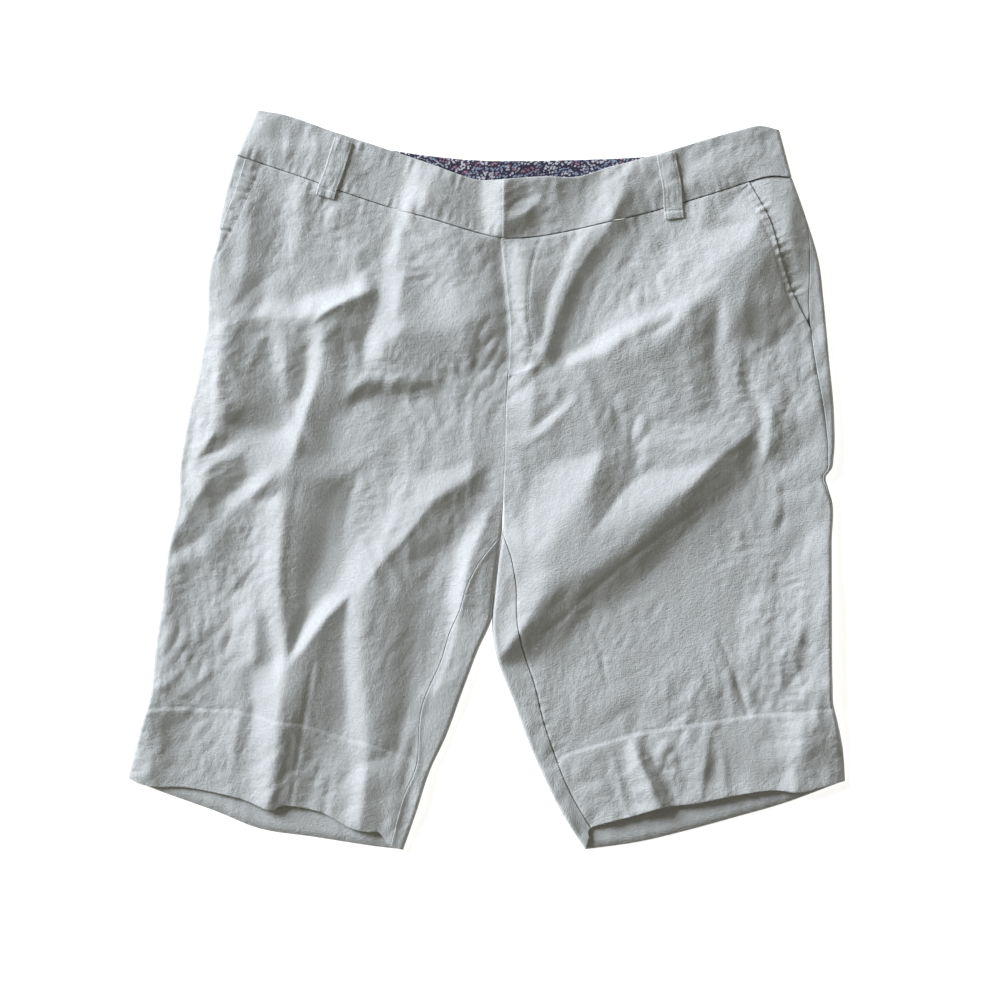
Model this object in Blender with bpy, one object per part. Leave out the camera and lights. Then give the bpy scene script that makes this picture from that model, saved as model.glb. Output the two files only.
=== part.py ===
"""Linen bermuda shorts lying flat, front up, built from the pieces a maker cuts.

Frame: +X to the wearer's left, +Y towards the waist, +Z up from the surface the shorts lie on.
Every size below is in millimetres; MM turns it into metres when a mesh is made.

Each leg is a flattened tube.  Across a row of the tube one coordinate, a, runs in cloth length from
the outer fold over the top to the inner fold, and on below back to the outer fold.  Front and back
panels are ranges of that one tube, parted at the seams, so they meet wherever a seam wanders.
The top of the tube follows a height field: a base height plus the folds listed in FOLDS.
"""
import math

import bpy
import numpy as np

MM = 0.001

# ---- driving sizes, mm -------------------------------------------------------------------------
WALL = 1.0                # cloth and its seam allowances
HEM_WALL = 1.8            # turned-up hem: two layers of cloth
SEAM_GAP = 0.3            # between pieces that are sewn edge to edge
LAYER_STEP = 1.7          # rise from the middle of one layer to the next, over the same ground
BASE_HEIGHT = 5.6         # middle of the top layer where no fold lifts it
LOWEST_TOP = 3.6          # the top layer never sinks below this
FOLD_RADIUS = 3.2         # of the side and inner-leg folds, in plan
ARC_GAIN = FOLD_RADIUS * (math.pi / 2 - 1)   # cloth length of a quarter turn past its plan width
HEM_DEPTH = 56.0          # turned-up hem
BAND_DEPTH = 48.0         # waistband
LAP_WIDTH = 23.0          # fly underlap, under the wearer's left front
LAP_FOOT_Y = 86.0         # the lap closes into the centre-front seam here
LAP_DIP = (14.0, 1.5)     # cloth lengths before the lap's edge where the underlap starts and ends its dip
BEARER_UNDERCUT = 24.0    # how far a pocket bearer runs in under the front
BEARER_TAPER = 5.0        # how far its foot draws in from the side seam
LEG_LENGTH = 485.0        # waist seam to hem, down the outer side
WAIST_GAP = 0.5           # between waistband and panels, on a curved seam
CENTRE_SEAM_EASE = 0.15   # added to the seam gap down the centre seams, where a seam is open and flat
LOOP_WIDTH = 15.0
LOOP_TAIL = 12.0          # how far a back loop runs on below the waistband

# Rows and columns of cloth squares in each piece.
LEG_ROWS = 36
FRONT_COLUMNS = 24
BACK_COLUMNS = 16
BEARER_COLUMNS = 10
BAND_COLUMNS = 80
BAND_ROWS = 4

# Middle of the finished outline, so that the part stands on its own origin.
CENTRE_X = -2.0
CENTRE_Y = 0.0

CREAM = (0.70, 0.71, 0.70)
PRINT_GROUND = (0.06, 0.06, 0.12)

# ---- outlines, mm: (y, x) down each edge --------------------------------------------------------
RIGHT_OUTER = [(260, -202.5), (233, -210.5), (207, -216), (192, -218), (170, -224), (126, -226.5),
               (82, -234), (45, -242), (6, -248), (-20, -249), (-45, -255), (-100, -263),
               (-140, -268), (-174, -272), (-194, -278), (-239, -289)]
LEFT_OUTER = [(242, 242), (211, 253), (176, 263.5), (140, 268), (96, 272), (49, 276), (18, 275.5),
              (9, 274), (3, 269.5), (-6, 271), (-16, 274), (-50, 274), (-100, 274), (-165, 274.5),
              (-178, 275), (-195, 279), (-215, 283), (-241, 285)]
CENTRE_FRONT = [(242, 11), (218, 8.5), (195, 9.5), (170, 12), (142, 15), (119, 17), (95, 16),
                (65, 14), (20, 13), (0, 12), (-25, 11.5), (-40, 11)]
RIGHT_INNER = [(-40, 10.1), (-60, 6.5), (-90, 3.2), (-111, 0.6), (-136, -9), (-169, -21.5),
               (-208, -36), (-230, -46.5), (-266, -58.5), (-296, -69)]
LEFT_INNER = [(-40, 11.9), (-60, 8.7), (-90, 5.5), (-111, 4.0), (-140, 6.0), (-178, 20.2),
              (-211, 32.4), (-233, 42), (-269, 60), (-296, 77.5)]

# Edges that cross the garment, mm: (x, y).
WAIST_TOP = [(-186, 296), (-160, 291), (-124, 278.5), (-87, 266.5), (-49, 253.5), (-26, 245), (-8, 240),
             (10, 240), (43, 242.5), (70, 242.5), (95, 250), (109, 253.5), (133, 260), (166, 270),
             (196, 278.5), (216, 283), (232, 280)]
WAIST_SEAM = [(-202, 260), (-150, 242.5), (-118, 231), (-80, 218.5), (-45, 208.5), (-15, 199.5),
              (11, 193.5), (40, 195), (74, 201.5), (125, 213.5), (180, 229.5), (206, 238),
              (224, 242.5), (242, 242)]
BACK_TOP = [(-186, 295), (-160, 288), (-124, 276), (-87, 265.5), (-70, 262.5), (-40, 258.5),
            (0, 255.5), (50, 256), (90, 257.5), (128, 262), (166, 268), (196, 275.5), (232, 280)]
BACK_SEAM = [(-202, 260), (-140, 236), (-70, 216), (0, 206), (60, 205), (120, 211),
             (180, 224), (242, 242)]
RIGHT_HEM = [(-289, -239), (-272, -245), (-240, -246.5), (-200, -255), (-176, -264), (-163, -260.5),
             (-135, -266), (-112, -278), (-98, -281.5), (-88, -282), (-80, -292), (-69, -296)]
LEFT_HEM = [(285, -241), (265, -246), (248, -250), (225, -248.5), (195, -253), (165, -259),
            (139, -262), (115, -269), (83, -278), (80, -287), (77.5, -296)]
RIGHT_BACK_HEM = [(-289, -239), (-262, -250), (-220, -265), (-183, -279.5), (-140, -286), (-95, -293),
                  (-69, -296)]
LEFT_BACK_HEM = [(285, -241), (238, -258.5), (200, -269.5), (160, -280.5), (120, -290), (77.5, -296)]

# Ends of the waistband, mm: top then seam corner (x, y) of its outer and inner fold.
BAND_RIGHT_END = ((-186, 296), (-202.5, 260))
BAND_LEFT_END = ((232, 280), (242, 242))
# Height of the waist seam on the centre line, in front and behind.
FRONT_SEAM_Y = 193.5
BACK_SEAM_Y = 205.6
CENTRE_SEAM_X = 10.0
LAP_EDGE_X = 11.0         # where the fly's edge crosses the waistband

# Width of back panel that shows on top beside the inner-leg fold and the side fold, mm: (v, width),
# where v runs from 0 at the waist seam to 1 at the hem.
CROTCH_V = 0.478
RIGHT_INSEAM = [(0.478, 0), (0.55, 19), (0.64, 28), (0.70, 27), (0.82, 25), (0.86, 14), (0.93, 15),
                (1.0, 12)]
LEFT_INSEAM = [(0.478, 0), (0.53, 14), (0.59, 24), (0.66, 27), (0.73, 27), (0.81, 24), (0.90, 21),
               (1.0, 19)]
LEFT_SIDE_WRAP = [(0.0, 1), (0.08, 3), (0.15, 10), (0.22, 14), (0.30, 13), (0.40, 9), (0.47, 6),
                  (0.55, 1.5), (0.62, 0), (1.0, 0)]
# Pocket mouths, as the distance of the front's cut edge from the outer fold, mm: (v, width).
RIGHT_MOUTH = [(0.0, 10), (0.055, 9.5), (0.11, 5), (0.16, 2.5), (0.20, 0)]
LEFT_MOUTH = [(0.0, 36), (0.065, 31), (0.13, 31), (0.17, 28), (0.21, 21.5), (0.25, 14)]

# ---- folds, mm: stations along each crest (height > 0) or trough (height < 0) --------------------
# columns: x, y, height, width towards the waist and right side, width towards hem and left side
FOLDS = {
    "fly layers": [(6, 262, 1.4, 36, 36), (10, 200, 1.3, 34, 34), (14, 108, 0.8, 26, 26)],
    "right hip trough": [(-78, 222, -2, 30, 26), (-82, 190, -4, 32, 28), (-86, 145, -5, 34, 30),
                         (-95, 108, -2.5, 22, 24)],
    "right hip ridge": [(-96, 170, 2, 14, 18), (-130, 149, 4, 14, 24), (-176, 124, 1.5, 14, 20)],
    "right thigh ridge": [(-133, 122, 3, 13, 20), (-136, 85, 6, 14, 24), (-150, 35, 5.5, 14, 30),
                          (-170, 3, 3, 12, 16)],
    "right side crest": [(-215, 122, 1.5, 16, 26), (-212, 75, 4, 16, 36), (-209, 46, 3, 15, 30)],
    "right side trough": [(-212, 8, -2, 14, 14), (-236, -34, -3, 15, 15), (-256, -60, -2, 14, 14)],
    "right leg facet crest": [(-171, 0, 3, 15, 30), (-167, -60, 6, 15, 42), (-164, -120, 4, 15, 22),
                              (-159, -150, 2, 14, 12)],
    "right leg facet trough": [(-103, -8, -2.5, 44, 14), (-125, -64, -5, 38, 18),
                               (-148, -122, -3, 20, 14)],
    "right leg strip crest": [(-104, -60, 3, 16, 10), (-116, -97, 6, 20, 14), (-140, -128, 6, 18, 24),
                              (-160, -163, 5, 14, 42), (-172, -262, 3, 14, 42)],
    "right hem trough": [(-115, -102, -2, 12, 16), (-118, -160, -5, 44, 20), (-130, -268, -3.5, 44, 24)],
    "right leg middle crest": [(-103, -62, 2, 14, 14), (-97, -135, 7, 20, 42), (-99, -262, 4, 24, 26)],
    "right crotch ridge": [(-102, -84, 3, 16, 28), (-66, -40, 6, 24, 36), (-8, 13, 2.5, 20, 24)],
    "right inner trough": [(-10, -16, -1.5, 22, 14), (-45, -82, -4, 38, 18), (-60, -165, -4, 36, 16),
                           (-85, -268, -2, 18, 12)],
    "left hip ridge": [(84, 236, 2, 16, 20), (70, 184, 5.5, 16, 25), (38, 98, 2, 12, 18)],
    "left hip trough": [(104, 196, -2, 22, 24), (85, 145, -4, 24, 28), (60, 92, -2, 16, 16)],
    "left star crest": [(79, 94, 1, 16, 14), (86, 44, 4, 24, 24), (82, 2, 4.5, 26, 28),
                        (63, -64, 3, 20, 18)],
    "left star trough": [(79, 94, -1, 12, 16), (103, 42, -3, 20, 22), (118, 8, -4, 30, 24),
                         (70, -54, -3, 18, 18)],
    "left pocket ridge": [(82, 100, 1.5, 16, 12), (130, 128, 3, 24, 20), (190, 159, 2.5, 26, 22)],
    "left side crest": [(160, 140, 3, 30, 22), (159, 108, 4, 34, 24), (160, 76, 2.5, 28, 22)],
    "left side trough": [(190, 146, -1.5, 18, 12), (181, 92, -3, 24, 14), (178, 56, -1, 16, 12)],
    "left long ridge": [(212, 32, 2.5, 22, 24), (167, -9, 7, 34, 34), (98, -51, 7.5, 36, 36),
                        (42, -100, 6, 24, 36), (12, -137, 3, 18, 24)],
    "left hem ridge": [(104, -206, 1.6, 14, 14), (117, -270, 2.4, 14, 14)],
    "left hem trough": [(181, -212, -1.5, 16, 14), (172, -257, -2.2, 16, 14)],
}
CREST_SOFTNESS = 0.22     # how far a crest or trough is rounded, as a share of its flank
FOOT_SOFTNESS = 0.1       # how softly a fold's foot runs out, as a share of its height
FLOOR_SOFTNESS = 0.8      # mm, how softly a trough meets the lowest top layer
RELIEF_PITCH = 3.0
RELIEF_HALF = 312.0
RELIEF_PASSES = 3         # each pass averages a place with its neighbours, which rounds the folds

# ---- belt loops --------------------------------------------------------------------------------
# Under the back of the waistband: x of each middle; the layers above rise over them.
BACK_LOOPS = {"belt_loop_back_right": -112.0, "belt_loop_back_middle": 9.0,
              "belt_loop_back_left": 132.0}
# Over its front: name, middle of the upper end, middle of the lower end.
FRONT_LOOPS = [("belt_loop_front_right", (-117, 270), (-129, 226)),
               ("belt_loop_front_left", (142, 260), (148, 209))]
LOOP_RISE = 1.5           # how far the bottom layer lifts over a back loop
LOOP_RISE_ACROSS = (22.0, 10.0)   # distances from a loop's side where the lift starts and is whole
LOOP_RISE_DOWN = (26.0, 10.0)     # the same below its foot


def smooth_curve(stations, t):
    """Value at t of a smooth curve through (t, value) stations: cubic pieces, slopes by neighbours."""
    stations = sorted(stations)
    knots = np.array([s[0] for s in stations], float)
    values = np.array([s[1] for s in stations], float)
    slopes = np.gradient(values, knots)
    t = np.asarray(t, float)
    i = np.clip(np.searchsorted(knots, t) - 1, 0, len(knots) - 2)
    step = knots[i + 1] - knots[i]
    f = np.clip((t - knots[i]) / step, 0, 1)
    rise = values[i] * (1 + 2 * f) * (1 - f) ** 2 + values[i + 1] * f * f * (3 - 2 * f)
    lean = step * (slopes[i] * f * (1 - f) ** 2 - slopes[i + 1] * f * f * (1 - f))
    return rise + lean


def smooth_path(points, samples_per_leg):
    """Catmull-Rom curve through points of any number of columns."""
    points = np.asarray(points, float)
    guard = np.vstack([2 * points[0] - points[1], points, 2 * points[-1] - points[-2]])
    t = np.linspace(0, 1, samples_per_leg, endpoint=False)[:, None]
    legs = []
    for a, b, c, d in zip(guard[:-3], guard[1:-2], guard[2:-1], guard[3:]):
        legs.append(0.5 * (2 * b + (c - a) * t + (2 * a - 5 * b + 4 * c - d) * t ** 2
                           + (3 * b - a - 3 * c + d) * t ** 3))
    return np.vstack(legs + [points[-1:]])


def ramp(t, start, end):
    """0 before start, 1 after end, smooth between; start may be the larger."""
    f = np.clip((np.asarray(t, float) - start) / (end - start), 0, 1)
    return f * f * (3 - 2 * f)


def fold_height(x, y, stations):
    """Height of one fold: a rounded tent across its crest line, its own width on each flank."""
    line = smooth_path(stations, 4)
    run = line[-1, :2] - line[0, :2]
    lower_side = 1.0 if run[0] + run[1] < 0 else -1.0
    nearest = np.full(np.shape(x), 1e9)
    height = np.zeros(np.shape(x))
    rounding = CREST_SOFTNESS
    for start, end in zip(line[:-1], line[1:]):
        ex, ey = end[:2] - start[:2]
        along = np.clip(((x - start[0]) * ex + (y - start[1]) * ey) / (ex * ex + ey * ey), 0, 1)
        dx = x - start[0] - along * ex
        dy = y - start[1] - along * ey
        away = np.hypot(dx, dy)
        lean = lower_side * (ex * dy - ey * dx) / (np.hypot(ex, ey) * away + 1e-9)
        upper = start[3] + along * (end[3] - start[3])
        lower = start[4] + along * (end[4] - start[4])
        q = away / (upper + (lower - upper) * 0.5 * (1 + lean))
        tent = 1 - (np.sqrt(q * q + rounding ** 2) - rounding) / (math.hypot(1, rounding) - rounding)
        tent = np.logaddexp(0, tent / FOOT_SOFTNESS) * FOOT_SOFTNESS
        here = (start[2] + along * (end[2] - start[2])) * tent
        closer = q < nearest
        height = np.where(closer, here, height)
        nearest = np.where(closer, q, nearest)
    return height


def relief_map():
    """Sum of the folds on a square net of places, averaged with its neighbours to round it."""
    places = np.arange(-RELIEF_HALF, RELIEF_HALF + 1, RELIEF_PITCH)
    x, y = np.meshgrid(places, places)
    raw = sum(fold_height(x, y, stations) for stations in FOLDS.values())
    above = (BASE_HEIGHT - LOWEST_TOP + raw) / FLOOR_SOFTNESS
    net = LOWEST_TOP + FLOOR_SOFTNESS * np.logaddexp(0, above)
    for _ in range(RELIEF_PASSES):
        padded = np.pad(net, 1, mode="edge")
        net = 0.25 * padded[:-2, 1:-1] + 0.5 * padded[1:-1, 1:-1] + 0.25 * padded[2:, 1:-1]
        padded = np.pad(net, 1, mode="edge")
        net = 0.25 * padded[1:-1, :-2] + 0.5 * padded[1:-1, 1:-1] + 0.25 * padded[1:-1, 2:]
    return net


RELIEF = relief_map()


def top_height(x, y):
    """Middle of the top layer, read from the relief net between its four nearest places."""
    last = RELIEF.shape[0] - 1.001
    fx = np.clip((np.asarray(x) + RELIEF_HALF) / RELIEF_PITCH, 0, last)
    fy = np.clip((np.asarray(y) + RELIEF_HALF) / RELIEF_PITCH, 0, last)
    ix, iy = fx.astype(int), fy.astype(int)
    tx, ty = fx - ix, fy - iy
    near = RELIEF[iy, ix] * (1 - tx) + RELIEF[iy, ix + 1] * tx
    far = RELIEF[iy + 1, ix] * (1 - tx) + RELIEF[iy + 1, ix + 1] * tx
    return near * (1 - ty) + far * ty


def back_height(x, y):
    """Middle of the bottom layer: flat on the surface, lifted over each belt loop under it."""
    lift = np.zeros(np.shape(x))
    seam = smooth_curve(BACK_SEAM, x)
    foot = seam - LOOP_TAIL
    down = ramp(y, foot - LOOP_RISE_DOWN[0], foot - LOOP_RISE_DOWN[1])
    side = LOOP_WIDTH / 2
    for middle in BACK_LOOPS.values():
        across = ramp(np.abs(x - middle), side + LOOP_RISE_ACROSS[0], side + LOOP_RISE_ACROSS[1])
        lift = np.maximum(lift, across * down)
    return WALL / 2 + lift * LOOP_RISE


class Edge:
    """A plan curve across the garment, read by its share of length from the outer end."""

    def __init__(self, points):
        self.points = smooth_path(points, 10)
        steps = np.hypot(*np.diff(self.points, axis=0).T)
        self.share = np.concatenate([[0], np.cumsum(steps)]) / steps.sum()

    def bow(self, s):
        """How far the curve stands off its own chord at share s, as x and y."""
        s_in = np.clip(s, 0, 1)
        x = np.interp(s_in, self.share, self.points[:, 0])
        y = np.interp(s_in, self.share, self.points[:, 1])
        first, last = self.points[0], self.points[-1]
        return (x - first[0] - s_in * (last[0] - first[0]),
                y - first[1] - s_in * (last[1] - first[1]))


def part_of(points, x_from, x_to, count=14):
    """Stretch of an (x, y) edge between two x values, as count points from x_from to x_to."""
    x = np.linspace(x_from, x_to, count)
    return np.column_stack([x, smooth_curve(points, x)])


class Tube:
    """A flattened tube of cloth: rows run from an outer fold to an inner one, v goes down it."""

    def __init__(self, outer, inner, top, foot, back_top, back_foot, back_inner=None,
                 close_from=0.0, close_to=0.0, edge_reach=2, bare_to=0.0):
        self.outer, self.inner = outer, inner
        self.back_inner = back_inner or inner
        self.top, self.foot = Edge(top), Edge(foot)
        self.back_top, self.back_foot = Edge(back_top), Edge(back_foot)
        self.close_from, self.close_to = close_from, close_to
        self.edge_reach = edge_reach
        self.bare_to = bare_to

    def closing(self, v):
        """0 where the inner side is open for the seam above the crotch, 1 where it is folded."""
        if self.close_to <= 0:
            return np.ones(np.shape(v))
        return ramp(v, self.close_from, self.close_to)

    def fold_drop(self, v):
        """How far below the top layer the outer fold's cloth lies: a layer, down to a pocket's foot."""
        if self.bare_to <= 0:
            return np.zeros(np.shape(v))
        return LAYER_STEP * ramp(v, self.bare_to + 0.03, self.bare_to - 0.01)

    def fold_middle(self, v, at, drop):
        """Half height of a fold, at share at of a row."""
        x, y = self.plan(v, at, False)
        return (top_height(x, y) - drop + WALL / 2) / 2

    def plan(self, v, s, below):
        """Plan point at share s of row v; rows bend towards the top and foot edges near them."""
        ox, oy = self.outer(v)
        ix, iy = self.back_inner(v) if below else self.inner(v)
        top = self.back_top if below else self.top
        foot = self.back_foot if below else self.foot
        top_x, top_y = top.bow(s)
        foot_x, foot_y = foot.bow(s)
        near_top, near_foot = (1 - v) ** self.edge_reach, v ** self.edge_reach
        return (ox + s * (ix - ox) + near_top * top_x + near_foot * foot_x,
                oy + s * (iy - oy) + near_top * top_y + near_foot * foot_y)

    def row_width(self, v):
        ox, oy = self.outer(v)
        ix, iy = self.inner(v)
        return np.hypot(ix - ox, iy - oy)

    def span(self, v):
        """Cloth length of a row from the middle of the outer fold to that of the inner one."""
        return self.row_width(v) + 2 * ARC_GAIN

    def inward(self, a, shut=1.0):
        """Plan distance from a fold's edge, and share of full height there, at cloth length a.

        shut is 1 at a fold, where the cloth turns down, and 0 at an open seam, where it lies flat.
        """
        turn = np.clip(a / FOLD_RADIUS, 0, math.pi / 2)
        quarter = FOLD_RADIUS * math.pi / 2
        folded = FOLD_RADIUS * (1 - np.cos(turn))
        flat = a * 2 / math.pi
        plan = np.where(a < quarter, flat + shut * (folded - flat), a - ARC_GAIN)
        return np.where(a < 0, a * 2 / math.pi, plan), np.sin(turn)

    def point(self, v, a, drop=0.0):
        """Point of the cloth's middle.  a in [0, span]: top layer.  a beyond it or below 0: under.

        A top layer point lies at top_height less drop; near a fold it turns down to half height.
        """
        span = self.span(v)
        width = self.row_width(v)
        below = (a > span) | (a < 0)
        from_outer = np.where(a < 0, -a, np.where(a > span, 2 * span - a, a))
        from_inner = span - from_outer
        outer_plan, outer_turn = self.inward(from_outer)
        inner_plan, inner_turn = self.inward(from_inner, self.closing(v))
        s = np.where(from_outer < span / 2, outer_plan, width - inner_plan) / width
        x_top, y_top = self.plan(v, s, False)
        x_low, y_low = self.plan(v, s, True)
        x, y = np.where(below, x_low, x_top), np.where(below, y_low, y_top)
        full = np.where(below, back_height(x_low, y_low), top_height(x_top, y_top) - drop)
        return np.stack([x, y, self.turned_down(v, full, width, outer_turn, inner_turn)], axis=-1)

    def turned_down(self, v, full, width, outer_turn, inner_turn):
        """Heights brought to half height where the row's ends turn round a fold."""
        share = FOLD_RADIUS / width
        middle = self.fold_middle(v, share + 0 * full, self.fold_drop(v))
        full = middle + (full - middle) * outer_turn
        middle = self.fold_middle(v, 1 - share + 0 * full, 0.0)
        return middle + (full - middle) * (1 - self.closing(v) * (1 - inner_turn))

    def lap_point(self, v, a, drop):
        """Top layer point for a row that may run on past the inner edge, as a fly underlap does."""
        width = self.row_width(v)
        span = self.span(v)
        shut = self.closing(v)
        outer_plan, outer_turn = self.inward(a)
        inner_plan, inner_turn = self.inward(span - a, shut)
        s = np.where(a < span / 2, outer_plan, width - inner_plan) / width
        x, y = self.plan(v, s, False)
        full = top_height(x, y) - drop
        return np.stack([x, y, self.turned_down(v, full, width, outer_turn, inner_turn)], axis=-1)


def columns(start, end, count, centres, fine=1.5, coarse=10.0, reach=7.0):
    """count + 1 places from start to end (one row each), closer together near each centre."""
    fine_step = np.linspace(0, 1, 400)
    rows = []
    for i in range(len(start)):
        line = start[i] + (end[i] - start[i]) * fine_step
        spacing = np.full(line.shape, coarse)
        for centre in centres:
            near = np.abs(line - centre[i])
            spacing = np.minimum(spacing, fine + (coarse - fine) * ramp(near, reach * 0.7, reach * 2.4))
        weight = np.concatenate([[0], np.cumsum(0.5 * (1 / spacing[1:] + 1 / spacing[:-1]))])
        rows.append(np.interp(np.linspace(0, weight[-1], count + 1), weight, line))
    return np.array(rows)


def middle_and_normal(surface, v, along, turned=1.0):
    """Grid of middle points and outward normals of surface(v, a), where a = along(v).

    Slopes are read a short step to each side, and never from beyond the piece's own edges.
    """
    a = along(v)
    step = 0.05
    low, high = np.minimum(a[:, :1], a[:, -1:]), np.maximum(a[:, :1], a[:, -1:])
    grid = v[:, None] + 0 * a
    across = (surface(grid, np.clip(a + step, low, high)) - surface(grid, np.clip(a - step, low, high)))
    across = across * np.sign(a[:, -1:] - a[:, :1])[..., None]
    before, after = np.clip(v - 0.002, v[0], v[-1]), np.clip(v + 0.002, v[0], v[-1])
    a_before, a_after = along(before), along(after)
    down = surface(after[:, None] + 0 * a, a_after) - surface(before[:, None] + 0 * a, a_before)
    normal = np.cross(across, down) * turned
    normal /= np.linalg.norm(normal, axis=2, keepdims=True) + 1e-12
    return surface(grid, a), normal


def wall_faces(points, rows, cols):
    """Triangles of a closed wall on two grids, outer then inner, cut along the same diagonals."""
    low = rows * cols
    index = np.arange(rows * cols).reshape(rows, cols)
    a, b = index[:-1, :-1].ravel(), index[:-1, 1:].ravel()
    c, d = index[1:, 1:].ravel(), index[1:, :-1].ravel()
    first = np.linalg.norm(points[a] - points[c], axis=1)
    second = np.linalg.norm(points[b] - points[d], axis=1)
    by_ac = (first <= second)[:, None]
    one = np.where(by_ac, np.stack([a, b, c], 1), np.stack([a, b, d], 1))
    two = np.where(by_ac, np.stack([a, c, d], 1), np.stack([b, c, d], 1))
    outer = np.concatenate([one, two])
    ring = np.concatenate([index[0, :], index[1:, -1], index[-1, -2::-1], index[-2:0:-1, 0]])
    after = np.roll(ring, -1)
    sides = np.concatenate([np.stack([after, ring, low + ring], 1),
                            np.stack([after, low + ring, low + after], 1)])
    return np.concatenate([outer, (low + outer)[:, ::-1], sides])


def wall(name, middle, normal, colour, inner_depth=WALL / 2, turned=1.0):
    """Closed wall: half a WALL outwards of the middle points and inner_depth inwards."""
    outside = middle + normal * WALL / 2
    inside = middle - normal * np.broadcast_to(inner_depth, middle.shape[:2])[..., None]
    rows, cols = middle.shape[:2]
    centre = np.array([CENTRE_X, CENTRE_Y, 0])
    points = (np.concatenate([outside.reshape(-1, 3), inside.reshape(-1, 3)]) - centre) * MM
    faces = wall_faces(points, rows, cols)
    if turned < 0:
        faces = faces[:, ::-1]
    mesh = bpy.data.meshes.new(name)
    mesh.from_pydata(points.tolist(), [], faces.tolist())
    mesh.shade_smooth()
    mesh.set_sharp_from_angle(angle=math.radians(50))
    mesh.materials.append(cloth(name + " cloth", colour))
    piece = bpy.data.objects.new(name, mesh)
    bpy.context.scene.collection.objects.link(piece)
    return piece


def cloth(name, colour):
    """Plain woven cloth: a matt Principled surface."""
    material = bpy.data.materials.new(name)
    material.use_nodes = True
    shader = material.node_tree.nodes["Principled BSDF"]
    shader.inputs["Base Color"].default_value = (*colour, 1)
    shader.inputs["Roughness"].default_value = 0.9
    shader.inputs["Metallic"].default_value = 0.0
    return material


# ---- the two legs ------------------------------------------------------------------------------
def edge_line(stations, y_top, y_foot):
    """Edge as a function of v, read from (y, x) stations between two heights."""
    def at(v):
        y = y_top + (y_foot - y_top) * np.asarray(v, float)
        return smooth_curve(stations, y), y
    return at


def inner_line(leg_stations, y_top, raise_back=0.0):
    """Centre seam down to the crotch, then the inner fold of a leg to its hem."""
    y_foot = leg_stations[-1][0]
    y_crotch, x_crotch = leg_stations[0]
    stand_off = x_crotch - float(smooth_curve(CENTRE_FRONT, y_crotch))

    def at(v):
        v = np.asarray(v, float)
        y = y_top + (y_foot - y_top) * v
        upper = smooth_curve(CENTRE_FRONT, np.maximum(y, y_crotch))
        upper = upper + stand_off * ramp(y, y_crotch + 30, y_crotch + 8)
        lower = smooth_curve(leg_stations, np.minimum(y, y_crotch))
        y_back = y + raise_back * np.clip((y - y_crotch) / (y_top - y_crotch), 0, 1)
        return np.where(y > y_crotch, upper, lower), y_back
    return at


def leg_tube(side):
    outer_stations = RIGHT_OUTER if side == "right" else LEFT_OUTER
    inner_stations = RIGHT_INNER if side == "right" else LEFT_INNER
    hem = RIGHT_HEM if side == "right" else LEFT_HEM
    back_hem = RIGHT_BACK_HEM if side == "right" else LEFT_BACK_HEM
    outer_x = outer_stations[0][1]
    return Tube(
        outer=edge_line(outer_stations, outer_stations[0][0], outer_stations[-1][0]),
        inner=inner_line(inner_stations, FRONT_SEAM_Y),
        back_inner=inner_line(inner_stations, FRONT_SEAM_Y, BACK_SEAM_Y - FRONT_SEAM_Y),
        top=part_of(WAIST_SEAM, outer_x, CENTRE_SEAM_X), foot=hem,
        back_top=part_of(BACK_SEAM, outer_x, CENTRE_SEAM_X), back_foot=back_hem,
        close_from=CROTCH_V - 0.05, close_to=CROTCH_V,
        bare_to=Seams(side).mouth_foot)


def hem_wall(v):
    """Inner depth of the wall: plain above the hem, with the turned-up layer inside it."""
    hem_share = HEM_DEPTH / LEG_LENGTH
    return WALL / 2 + (HEM_WALL - WALL) * ramp(v, 1 - hem_share - 0.012, 1 - hem_share)


def leg_rows():
    """Rows down a leg, the same for every panel, with two more at the crotch."""
    rows = np.linspace(WAIST_GAP / 2 / LEG_LENGTH, 1.0, LEG_ROWS + 1)
    return np.sort(np.concatenate([rows, [CROTCH_V - 0.012, CROTCH_V + 0.008]]))


class Seams:
    """Where a leg's panels part, as cloth lengths from its folds at share v down the leg."""

    def __init__(self, side):
        self.wraps_side = side == "left"
        self.inseam_table = LEFT_INSEAM if side == "left" else RIGHT_INSEAM
        self.mouth_table = LEFT_MOUTH if side == "left" else RIGHT_MOUTH
        self.mouth_foot = self.mouth_table[-1][0]

    def inseam(self, v):
        """Width of back panel on top beside the inner fold; the centre seam above the crotch has none."""
        return np.where(v > CROTCH_V, smooth_curve(self.inseam_table, v), 0)

    def side_seam(self, v):
        """Width of back panel on top beside the outer fold."""
        return np.maximum(smooth_curve(LEFT_SIDE_WRAP, v), 0) if self.wraps_side else 0 * v

    def mouth(self, v):
        """Distance of the pocket mouth from the outer fold."""
        return smooth_curve(self.mouth_table, v)


def turn_of(side):
    """Rows run from the side seam inwards, so the right leg's grid faces the other way."""
    return -1.0 if side == "right" else 1.0


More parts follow.
